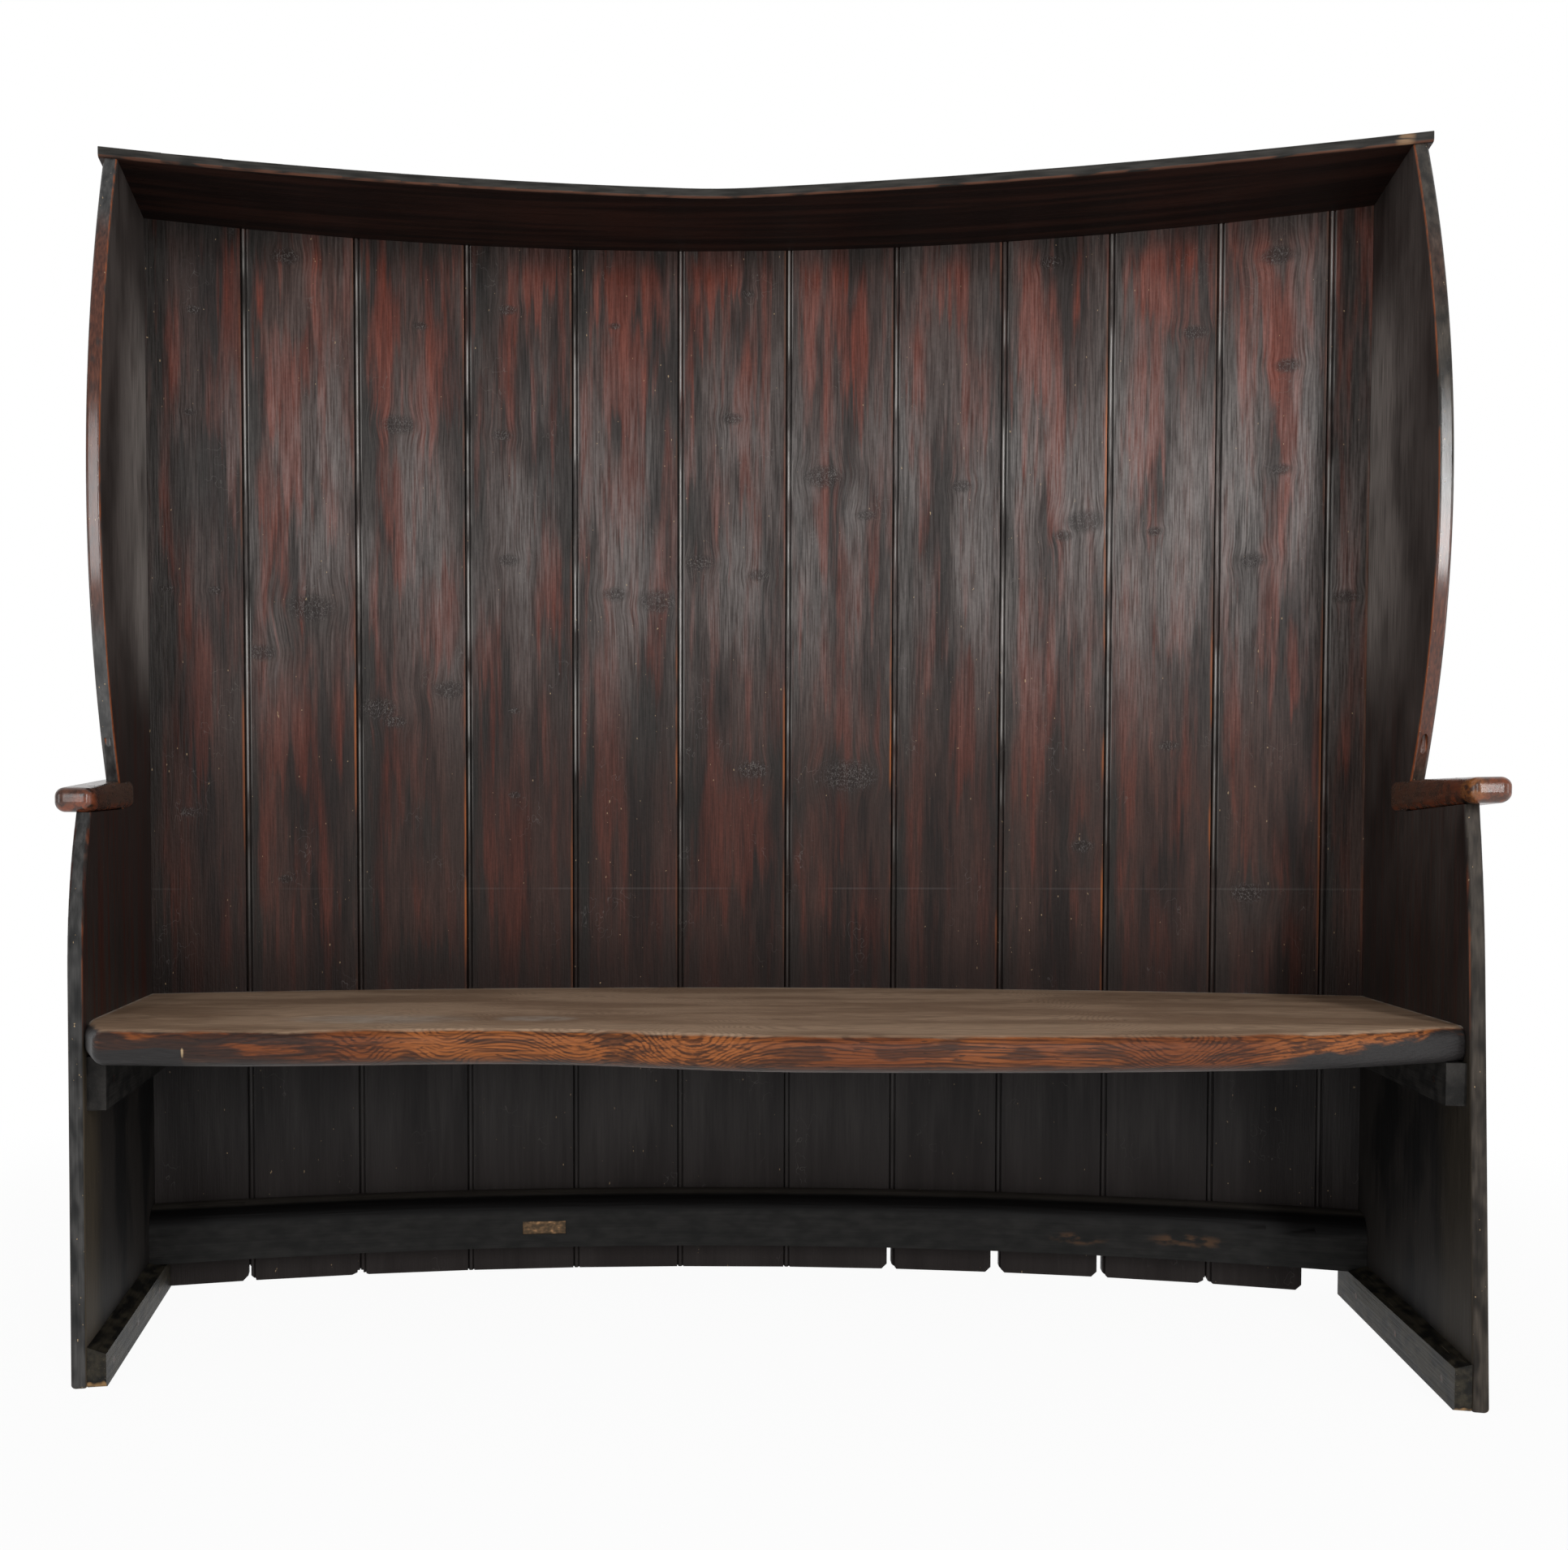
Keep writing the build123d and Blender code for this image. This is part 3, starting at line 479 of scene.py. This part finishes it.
def side_finish(hand, name):
    """Dark stained board with painted sheen on the wing, worn to brown on the front edge of the wing and
    chipped at the foot.
    """
    finish = new_finish(f"{name}_side_stain")
    depth, inset, height = end_places(finish, hand)
    forward, inward = end_directions(hand)
    seed = 50 + hand * 7
    fibre = finish.noise(depth * 420, inset * 420 + seed, height * 14, detail=3.0)
    strands = finish.noise(depth * 110, inset * 110 + seed + 1, height * 3)
    clouds = finish.noise(depth * 12, seed + 2, height * 5, detail=3.0) + 0.2 * (strands - 0.5)
    patchy = finish.noise(depth * 90, inset * 90 + seed + 3, height * 30)
    ahead = finish.facing(forward)
    edge = finish.rise(ahead, 0.6, 0.9)
    wing = finish.rise(height, *WING_STARTS)
    seated = finish.rise(height, SEAT_BOTTOM, SEAT_TOP)

    # Faces: painted grey sheen over dusty bloom by the back of the wing, red-brown by the seat, black under
    # it
    pale_and_sheen = finish.rise(clouds, 0.25, 0.75) * (0.15 + 0.85 * finish.rise(height, *PAINTED_SHEEN_LEVELS[hand]))
    colour = finish.mix(pale_and_sheen, *SIDE_TONES)
    dust_and_sheen_patch = finish.fall(depth, *SHEEN_PATCH_DEPTHS) * finish.band(height, *SHEEN_PATCH_HEIGHTS, 0.2)
    dust_and_sheen_patch = dust_and_sheen_patch * finish.rise(clouds, 0.1, 0.6) * finish.rise(fibre, 0.15, 0.55)
    colour = finish.mix(dust_and_sheen_patch * 0.9, colour, SIDE_DUST_AND_SHEEN)
    red = finish.rise(strands, 0.45, 0.65) * finish.fall(height, *RED_ENDS)
    colour = finish.mix(red * RED_SHARE[hand], colour, SIDE_RED)
    low = finish.mix(finish.rise(clouds, 0.4, 0.6), *SIDE_LOW_TONES)
    low = finish.mix(finish.rise(depth, *OLIVE_DEPTHS) * OLIVE_SHARE[hand], low, OLIVE_WOOD)
    colour = finish.mix(seated, low, colour)

    # The outer face is plain stain
    outer = finish.fall(finish.facing(inward), -0.8, -0.5)
    plain = finish.mix(finish.rise(clouds, 0.25, 0.75), *OUTER_TONES)
    colour = finish.mix(outer, colour, plain)

    # Front edges: charcoal, with brown wear on the wing
    front = finish.mix(finish.rise(patchy, 0.25, 0.75), *EDGE_TONES[hand])
    for lower, higher, share in WING_WEAR[hand]:
        worn = finish.band(height, lower, higher, 0.07) * finish.rise(patchy, 0.15, 0.45) * share
        front = finish.mix(worn, front, finish.mix(fibre, *WORN_TONES))
    colour = finish.mix(edge, colour, front)
    arris = finish.band(ahead, 0.45, 0.8, 0.1) * finish.rise(finish.facing(inward), 0.15, 0.4)
    bared = finish.rise(clouds * 0.5 + patchy * 0.5, 0.42, 0.56) | finish.band(height, *ARRIS_BARED, 0.03)
    arris = arris * bared * finish.rise(height, *ARRIS_STARTS)
    colour = finish.mix(arris * (0.4 + 0.4 * wing), colour, WORN_ARRIS)

    colour = finish.shade(colour, 0.3 + 1.4 * fibre)
    specks = finish.rise(finish.noise(depth * 260, inset * 260 + seed, height * 160), 0.76, 0.78)
    colour = finish.mix(specks * (0.2 + 0.6 * edge), colour, BARE_PALE)
    chips = finish.fall(height + (patchy - 0.5) * 0.04, -0.001, 0.003) * finish.rise(ahead, 0.1, 0.4)
    colour = finish.mix(chips * 0.7, colour, CHIPPED_WOOD)

    relief = fibre + patchy * edge - specks
    gloss = edge * wing
    roughness = 0.5 - 0.28 * gloss + 0.2 * (fibre - 0.5) + 0.1 * (1 - seated)
    finish.surface(colour, roughness, relief, depth=0.0004, sheen=0.15, coat=gloss, coat_roughness=0.17)
    return finish


def near(finish, places, spot, reach):
    """1 at a place on an end, given by depth, inset and height, and 0 at a reach from it."""
    distance = 0.0
    for place, middle in zip(places, spot):
        away = (place - middle) / reach
        distance = away * away + distance
    return finish.fall(distance, 0.2, 1.0)


# The dark and the light of each arm
ARM_TONES = {-1: (tone(42, 28, 24), tone(92, 58, 44)), 1: (tone(74, 52, 42), tone(122, 66, 42))}
ARM_DULL = tone(84, 68, 58)
ARM_UNDER_RED = tone(150, 76, 46)
ARM_FLECKS = tone(170, 120, 76)
DULL_DEPTHS = (0.22, 0.38)
# The rubbed corner of each arm: depth, inset and height, reach, how bare it is, and its wood
BARE_CORNERS = {
    -1: ((0.350, -0.003, 0.700), 0.025, 0.4, tone(150, 78, 50)),
    1: ((0.400, -0.003, 0.716), 0.021, 0.8, tone(146, 94, 52)),
}
# A hole under the corner of the right arm, painted black as its shade, in the same way
ARM_HOLE = (0.386, -0.005, 0.703)
ARM_HOLE_REACH = 0.012
HOLE_SHADE_BLACK = tone(20, 14, 12)


def arm_finish(hand, name):
    """Handled, glossy red-brown wood, rubbed bare at a corner, with a hole in the right arm painted as
    black shade.
    """
    finish = new_finish(f"{name}_arm_polish")
    places = end_places(finish, hand)
    depth, inset, height = places
    forward = end_directions(hand)[0]
    seed = 70 + hand * 5
    fibre = finish.noise(depth * 24, inset * 500 + seed, height * 500, detail=3.0)
    patchy = finish.noise(depth * 70, inset * 90 + seed, height * 90, detail=3.0)
    colour = finish.mix(finish.rise(patchy, 0.25, 0.75), *ARM_TONES[hand])
    colour = finish.mix(finish.fall(depth, *DULL_DEPTHS) * 0.7, colour, ARM_DULL)
    low = finish.fall(finish.facing(UP), -0.9, 0.0)
    colour = finish.mix(low * finish.rise(patchy, 0.45, 0.6) * 0.7, colour, ARM_UNDER_RED)
    spot, reach, share, wood = BARE_CORNERS[hand]
    bare = near(finish, places, spot, reach) * finish.rise(patchy, 0.35, 0.5)
    colour = finish.mix(bare * share, colour, wood)
    if hand == HANDS["right"]:
        hole_shade = near(finish, places, ARM_HOLE, ARM_HOLE_REACH)
        colour = finish.mix(hole_shade, colour, HOLE_SHADE_BLACK)
    colour = finish.shade(colour, 0.4 + 1.2 * fibre)
    flecks = finish.rise(finish.noise(depth * 200, inset * 200, height * 200), 0.74, 0.77)
    colour = finish.mix(flecks * 0.6, colour, ARM_FLECKS)
    gloss = 0.15 + 0.25 * finish.rise(finish.facing(forward), 0.3, 0.8)
    roughness = 0.28 + 0.3 * (patchy - 0.5)
    relief = fibre + patchy
    finish.surface(colour, roughness, relief, depth=0.0001, sheen=0.4, coat=gloss, coat_roughness=0.15)
    return finish


BATTEN_TONES = (tone(32, 31, 29), tone(58, 54, 46))
BATTEN_SCRATCHES = tone(130, 121, 106)
BEARER_TONES = (tone(36, 35, 34), tone(54, 52, 50))


def batten_finish(hand, name):
    """Olive-black foot batten with scratches and a chipped front."""
    finish = new_finish(f"{name}_batten_stain")
    depth, inset, height = end_places(finish, hand)
    forward = end_directions(hand)[0]
    seed = 90 + hand * 5
    fibre = finish.noise(depth * 10, inset * 300 + seed, height * 300, detail=3.0)
    patchy = finish.noise(depth * 40, inset * 70 + seed, height * 70)
    colour = finish.mix(finish.rise(patchy, 0.35, 0.65), *BATTEN_TONES)
    colour = finish.shade(colour, 0.4 + 1.2 * fibre)
    scratches = finish.rise(finish.noise(depth * 14, inset * 700 + seed, height * 700), 0.72, 0.77)
    colour = finish.mix(scratches * 0.5, colour, BATTEN_SCRATCHES)
    ragged = height + (patchy - 0.5) * 0.03
    chips = finish.rise(finish.facing(forward), 0.1, 0.4) * finish.fall(ragged, -0.002, 0.004)
    colour = finish.mix(chips * 0.7, colour, CHIPPED_WOOD)
    finish.surface(colour, 0.5 + 0.2 * (fibre - 0.5), fibre + patchy, depth=0.0006, sheen=0.15)
    return finish


def bearer_finish(hand, name):
    """Matt charcoal batten under the seat."""
    finish = new_finish(f"{name}_bearer_stain")
    depth, inset, height = end_places(finish, hand)
    fibre = finish.noise(depth * 9, inset * 400, height * 400, detail=3.0)
    patchy = finish.noise(depth * 50, inset * 50, height * 50)
    colour = finish.mix(finish.rise(patchy, 0.35, 0.65), *BEARER_TONES)
    colour = finish.shade(colour, 0.5 + fibre)
    finish.surface(colour, 0.6 + 0.2 * (fibre - 0.5), fibre, depth=0.0004, sheen=0.15)
    return finish


for name, hand in HANDS.items():
    dress(f"{name}_side", side_finish(hand, name))
    dress(f"{name}_arm", arm_finish(hand, name))
    dress(f"{name}_foot_batten", batten_finish(hand, name))
    dress(f"{name}_seat_bearer", bearer_finish(hand, name))


# Hood, seat, rail, patch and nails

def curve_places(finish):
    """Run along the curve of the back, distance from its centre and height."""
    place = finish.place()
    x = finish.along(place, RIGHT)
    back = finish.along(place, BACK, (0, CENTRE_Y, 0))
    height = finish.along(place, UP)
    turn = x.combine("ARCTAN2", x, back)
    radius = x.combine("SQRT", x * x + back * back, 0.0)
    return turn * BACK_RADIUS, radius, height


HOOD_TONES = (tone(40, 32, 30), tone(58, 41, 36))
HOOD_FRONT_TONES = (tone(40, 39, 37), tone(62, 60, 57))
HOOD_TOP_TONES = (tone(56, 48, 44), tone(96, 86, 78))
HOOD_ARRIS = tone(120, 72, 50)
HOOD_CHIPPED = tone(150, 120, 92)
# Run, height, half width and half height
HOOD_CHIP = (0.905, 1.585, 0.012, 0.020)


def hood_finish():
    """Black underside with a breath of red, charcoal front edge worn brown below, dusty top."""
    finish = new_finish("hood_stain")
    run, radius, height = curve_places(finish)
    fibre = finish.noise(run * 10, radius * 420, height * 420, detail=3.0)
    streaks = finish.noise(run * 2, radius * 60, 3.0)
    patchy = finish.noise(run * 25, radius * 60, height * 160)
    upward = finish.facing(UP)
    colour = finish.mix(finish.rise(streaks, 0.4, 0.65), *HOOD_TONES)
    front = finish.mix(finish.rise(patchy, 0.25, 0.75), *HOOD_FRONT_TONES)
    ahead = finish.rise(finish.facing(FRONT), 0.25, 0.6)
    colour = finish.mix(ahead, colour, front)
    arris = finish.band(upward, -0.85, -0.3, 0.1) * ahead * finish.rise(patchy, 0.3, 0.5)
    colour = finish.mix(arris * 0.45, colour, HOOD_ARRIS)
    dusty = finish.mix(finish.rise(streaks, 0.35, 0.65), *HOOD_TOP_TONES)
    colour = finish.mix(finish.rise(upward, 0.75, 0.95), colour, dusty)
    chip = finish.spot(run, height, *HOOD_CHIP) * finish.rise(patchy, 0.35, 0.5) * ahead
    colour = finish.mix(chip * 0.8, colour, HOOD_CHIPPED)
    colour = finish.shade(colour, 0.4 + 1.2 * fibre)
    finish.surface(colour, 0.5 + 0.2 * (fibre - 0.5), fibre + patchy, depth=0.0004, sheen=0.15)
    return finish


# Where the rings of the seat arch across its front edge: place along it, half width, and rings
ARCHES = (
    (-0.462, 0.022, 3.0),
    (-0.369, 0.030, 4.0),
    (-0.223, 0.035, 4.0),
    (-0.090, 0.055, 9.0),
    (0.447, 0.045, 8.0),
)
# Along the seat, and up its front edge, where its look changes
DARKER_LEFT_END = (-0.62, -0.46)
LOWER_ARRIS = (0.400, 0.412)
LEFT_PAINT_END = (-0.670, -0.666)
LEFT_PAINT_TOP = (0.417, 0.422)
LEFT_CORNER = (-0.776, -0.768)
RIGHT_PAINT_START = (0.50, 0.60)
RIGHT_PAINT_TOP = (0.401, 0.408)
RIGHT_PAINT_FOOT = 0.52
RIGHT_PAINT_SLOPE = 0.11
PAINT_CHIP = (-0.667, 0.417, 0.0015, 0.0060)
# Scuffs on the top: along the seat, towards the back, and half of both sizes
SEAT_SCUFFS = ((-0.47, -0.16, 0.11, 0.05), (-0.28, -0.15, 0.05, 0.03))

ELM_TONES = (tone(114, 63, 34), tone(148, 87, 46))
ELM_RINGS = tone(52, 29, 20)
ELM_STREAKS = tone(52, 33, 24)
ELM_STAINS = tone(54, 36, 28)
ELM_FLECKS = tone(30, 22, 19)
DARK_LEFT_ELM = tone(46, 36, 33)
ARRIS_GREY = tone(58, 55, 53)
OLD_PAINT = tone(44, 42, 42)
DUST_TONES = (tone(146, 120, 98), tone(178, 150, 125))
DUSTY_RINGS = tone(92, 74, 60)
SCUFF_GREY = tone(184, 176, 166)
CORNER_DUST = tone(196, 188, 178)


def seat_finish():
    """Elm with fine rings on the worn front edge, a dusty top and old black paint at the ends."""
    finish = new_finish("worn_elm")
    x, y, z = straight_places(finish)
    upward = finish.facing(UP)
    sway = finish.noise(x * 3, y * 8, z * 14, detail=3.0)
    rings = z * 210 - y * 80 + sway * 14
    for middle, half_width, count in ARCHES:
        away = (x - middle) / half_width
        rings = rings + (e ** (away * away * -1.0)) * count
    wave = rings.combine("SINE", rings * (2 * pi), 0.0)
    pores = finish.noise(x * 40, y * 650, z * 650, detail=3.0)
    patchy = finish.noise(x * 14, y * 50, z * 70, detail=3.0)
    clouds = finish.noise(x * 3, y * 10, 4.0, detail=3.0)
    streaks = finish.noise(x * 7, y * 280, z * 280, detail=3.0)

    late_wood = finish.rise(wave + (streaks - 0.5) * 4, -0.3, 0.9) * finish.rise(patchy, 0.25, 0.5)
    colour = finish.mix(finish.rise(clouds, 0.4, 0.6), *ELM_TONES)
    colour = finish.mix(late_wood * 0.75, colour, ELM_RINGS)
    colour = finish.mix(finish.rise(streaks, 0.52, 0.62) * 0.6, colour, ELM_STREAKS)
    colour = finish.mix(finish.rise(patchy, 0.5, 0.6) * 0.7, colour, ELM_STAINS)
    # Darker towards the left end, in patches
    darker_left = finish.fall(x, *DARKER_LEFT_END) * finish.rise(patchy, 0.38, 0.5)
    colour = finish.mix(darker_left * 0.8, colour, DARK_LEFT_ELM)
    colour = finish.mix(finish.fall(z, *LOWER_ARRIS) * 0.8, colour, ARRIS_GREY)
    flecks = finish.rise(finish.noise(x * 70, y * 500, z * 500), 0.66, 0.74)
    colour = finish.mix(flecks * 0.7, colour, ELM_FLECKS)

    # Old black paint that is left at both ends of the front edge
    ragged = z + (patchy - 0.5) * 0.03
    left_paint = finish.fall(x, *LEFT_PAINT_END) * finish.fall(ragged, *LEFT_PAINT_TOP)
    left_paint = left_paint | finish.fall(x, *LEFT_CORNER)
    sloping = ragged - (x - RIGHT_PAINT_FOOT) * RIGHT_PAINT_SLOPE
    right_paint = finish.fall(sloping, *RIGHT_PAINT_TOP) * finish.rise(x, *RIGHT_PAINT_START)
    colour = finish.mix(left_paint | right_paint, colour, OLD_PAINT)
    chip = finish.spot(x, ragged, *PAINT_CHIP)
    colour = finish.mix(chip * 0.7, colour, BARE_PALE)

    # Dust and scuffs on the top, with more dust along the back and the sides
    dust = finish.mix(finish.rise(clouds, 0.4, 0.6), *DUST_TONES)
    dust = finish.mix(late_wood * 0.3, dust, DUSTY_RINGS)
    scuffs = finish.spots(x, y, SEAT_SCUFFS)
    dust = finish.mix(scuffs * finish.rise(pores, 0.4, 0.6) * 0.7, dust, SCUFF_GREY)
    radius = curve_places(finish)[1]
    corner = finish.rise(radius, BACK_RADIUS - 0.011, BACK_RADIUS - 0.006)
    for hand in HANDS.values():
        inset = end_places(finish, hand)[1]
        corner = corner | finish.fall(inset, 0.002, 0.006)
    dust = finish.mix(corner * finish.rise(patchy, 0.35, 0.55) * 0.6, dust, CORNER_DUST)
    colour = finish.mix(finish.rise(upward + (patchy - 0.5) * 0.4, 0.75, 0.98), colour, dust)

    colour = finish.shade(colour, 0.4 + 1.2 * pores)
    finish.surface(colour, 0.45 + 0.2 * (patchy - 0.5), pores + late_wood * 0.3, depth=0.0005, sheen=0.25)
    return finish


RAIL_TONES = (tone(27, 27, 26), tone(44, 43, 42))
RAIL_SHADE_BLACK = tone(18, 17, 17)
RAIL_RUBBED = tone(100, 74, 54)
RAIL_DUST = tone(80, 74, 68)
# Run, height, half width and half height
RUBBED_PLACES = ((0.50, 0.070, 0.04, 0.009), (0.66, 0.075, 0.05, 0.010))


def rail_finish():
    """Charcoal rail with painted shade in black along its rounded arris, dusty on top and rubbed brown near
    its right end.
    """
    finish = new_finish("rail_stain")
    run, radius, height = curve_places(finish)
    fibre = finish.noise(run * 8, radius * 380, height * 380, detail=3.0)
    patchy = finish.noise(run * 30, radius * 40, height * 70, detail=3.0)
    colour = finish.mix(finish.rise(patchy, 0.25, 0.75), *RAIL_TONES)
    upward = finish.facing(UP)
    # Painted shade: black on the rounding between the front face and the top
    rounded_shade = finish.rise(upward, 0.1, 0.4) * finish.fall(upward, 0.8, 0.98)
    colour = finish.mix(rounded_shade, colour, RAIL_SHADE_BLACK)
    rubbed = finish.spots(run, height, RUBBED_PLACES) * finish.rise(patchy, 0.45, 0.6)
    colour = finish.mix(rubbed * 0.7, colour, RAIL_RUBBED)
    colour = finish.mix(finish.rise(upward, 0.85, 0.98) * 0.5, colour, RAIL_DUST)
    colour = finish.shade(colour, 0.4 + 1.2 * fibre)
    finish.surface(colour, 0.5 + 0.2 * (fibre - 0.5), fibre, depth=0.0004, sheen=0.15)
    return finish


PATCH_TONES = (tone(84, 68, 50), tone(130, 102, 74))
PATCH_CHIPS = tone(180, 138, 98)
IRON_TONES = (tone(52, 50, 50), tone(88, 58, 44))


def patch_finish():
    """Olive-brown let-in block with pale chips."""
    finish = new_finish("patch_wood")
    run, radius, height = curve_places(finish)
    fibre = finish.noise(run * 40, radius * 500, height * 500, detail=3.0)
    patchy = finish.noise(run * 120, radius * 100, height * 160)
    colour = finish.mix(finish.rise(patchy, 0.35, 0.65), *PATCH_TONES)
    colour = finish.mix(finish.rise(patchy, 0.62, 0.68), colour, PATCH_CHIPS)
    colour = finish.shade(colour, 0.5 + fibre)
    finish.surface(colour, 0.6 + 0.2 * (fibre - 0.5), fibre, depth=0.0004, sheen=0.3)
    return finish


def nail_finish():
    """Black iron with a little rust."""
    finish = new_finish("nail_iron")
    x, y, z = straight_places(finish)
    rust = finish.noise(x * 400, y * 400, z * 400, detail=2.0)
    colour = finish.mix(finish.rise(rust, 0.4, 0.7), *IRON_TONES)
    finish.feed(finish.tree.nodes["Principled BSDF"], {"Metallic": 0.6})
    finish.surface(colour, 0.5 + 0.3 * (rust - 0.5), rust, depth=0.0003, sheen=0.4)
    return finish


dress("hood", hood_finish())
dress("seat", seat_finish())
dress("lower_rail", rail_finish())
dress("rail_patch", patch_finish())
iron = nail_finish()
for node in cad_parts:
    if node.endswith("_nails"):
        dress(node, iron)


# Floor, light and camera

WHITE = (1, 1, 1, 1)
FLOOR_GREY = (0.82, 0.82, 0.82, 1)
FLOOR_REACH = 9.0
# The camera sees this share of pure white on the floor by the settle, and all of it further off
FLOOR_WHITENESS = 0.95
# How bright the white room is as a light, and where a shine mirrors its front
ROOM_LIGHT = 0.36
# Place, target, width and height in metres, and power in watts
SOFTBOXES = {
    "right_softbox": ((1.1, -3.0, 1.75), (0, 0, 0.9), 0.32, 2.0, 40),
    "left_softbox": ((-0.9, -3.0, 1.75), (0, 0, 0.9), 0.32, 2.0, 17),
    "right_fill": ((3.2, -2.0, 1.2), (-0.5, 0, 0.9), 1.4, 1.6, 16),
    "left_fill": ((-3.2, -2.0, 1.2), (0.5, 0, 0.9), 1.4, 1.6, 16),
}
# The camera, fitted to the photo: pixels of the photo, metres and radians
PHOTO_WIDTH = 1932
FOCAL_PIXELS = 1650
SHIFT_PIXELS = (151, 168.6)
SENSOR_WIDTH = 36  # millimetres
CAMERA_PLACE = (-0.0910, CHORD_Y - 1.9692, 0.621)
CAMERA_DIP = 0.03
CAMERA_TURN = 0.021


def studio_floor():
    mesh = bpy.data.meshes.new("studio_floor")
    corners = [(x * FLOOR_REACH, y * FLOOR_REACH, 0) for x, y in ((-1, -1), (1, -1), (1, 1), (-1, 1))]
    mesh.from_pydata(corners, [], [(0, 1, 2, 3)])
    floor = bpy.data.objects.new("studio_floor", mesh)
    bpy.context.scene.collection.objects.link(floor)
    finish = new_finish("pale_floor")
    shader = finish.tree.nodes["Principled BSDF"]
    finish.feed(shader, {"Base Color": FLOOR_GREY, "Roughness": 0.9, "Specular IOR Level": 0.1})
    white = finish.node("ShaderNodeEmission", {}, {"Color": WHITE, "Strength": 1.0})
    x, y = straight_places(finish)[:2]
    far = finish.rise(x * x + y * y, 1.0, 5.0)
    seen = seen_rays(finish) * (FLOOR_WHITENESS + (1 - FLOOR_WHITENESS) * far)
    grey = Value(finish, shader.outputs[0])
    both = finish.node("ShaderNodeMixShader", {}, {0: seen, 1: grey, 2: white})
    finish.feed(finish.tree.nodes["Material Output"], {"Surface": both})
    mesh.materials.append(finish.owner)


def seen_rays(finish):
    """1 for the rays that show the background: from the camera, in gloss and through glass."""
    seen = 0.0
    for ray in ("Is Camera Ray", "Is Glossy Ray", "Is Transmission Ray"):
        seen = finish.node("ShaderNodeLightPath", {}, {}, ray) | seen
    return seen


def studio_world():
    world = bpy.data.worlds.new("studio")
    bpy.context.scene.world = world
    finish = Finish(world)
    behind = finish.along(finish.node("ShaderNodeTexCoord", {}, {}, "Generated"), BACK)
    camera = finish.node("ShaderNodeLightPath", {}, {}, "Is Camera Ray")
    seen = camera | seen_rays(finish) * finish.rise(behind, -0.1, 0.3)
    level = ROOM_LIGHT + (1 - ROOM_LIGHT) * seen
    finish.feed(finish.tree.nodes["Background"], {"Color": WHITE, "Strength": level})


def softbox(name, place, target, width, height, power):
    lamp = bpy.data.lights.new(name, "AREA")
    lamp.shape = "RECTANGLE"
    lamp.size = width
    lamp.size_y = height
    lamp.energy = power
    light = bpy.data.objects.new(name, lamp)
    light.location = place
    light.rotation_euler = (light.location - Vector(target)).to_track_quat("Z", "Y").to_euler()
    bpy.context.scene.collection.objects.link(light)


studio_floor()
studio_world()
for name, setting in SOFTBOXES.items():
    softbox(name, *setting)

camera = bpy.data.objects.new("camera", bpy.data.cameras.new("camera"))
camera.data.sensor_width = SENSOR_WIDTH
camera.data.lens = SENSOR_WIDTH * FOCAL_PIXELS / PHOTO_WIDTH
camera.data.shift_x, camera.data.shift_y = [pixels / PHOTO_WIDTH for pixels in SHIFT_PIXELS]
camera.location = CAMERA_PLACE
camera.rotation_euler = (pi / 2 - CAMERA_DIP, 0, CAMERA_TURN)
bpy.context.scene.collection.objects.link(camera)
bpy.context.scene.camera = camera
bpy.context.scene.view_settings.view_transform = "Standard"
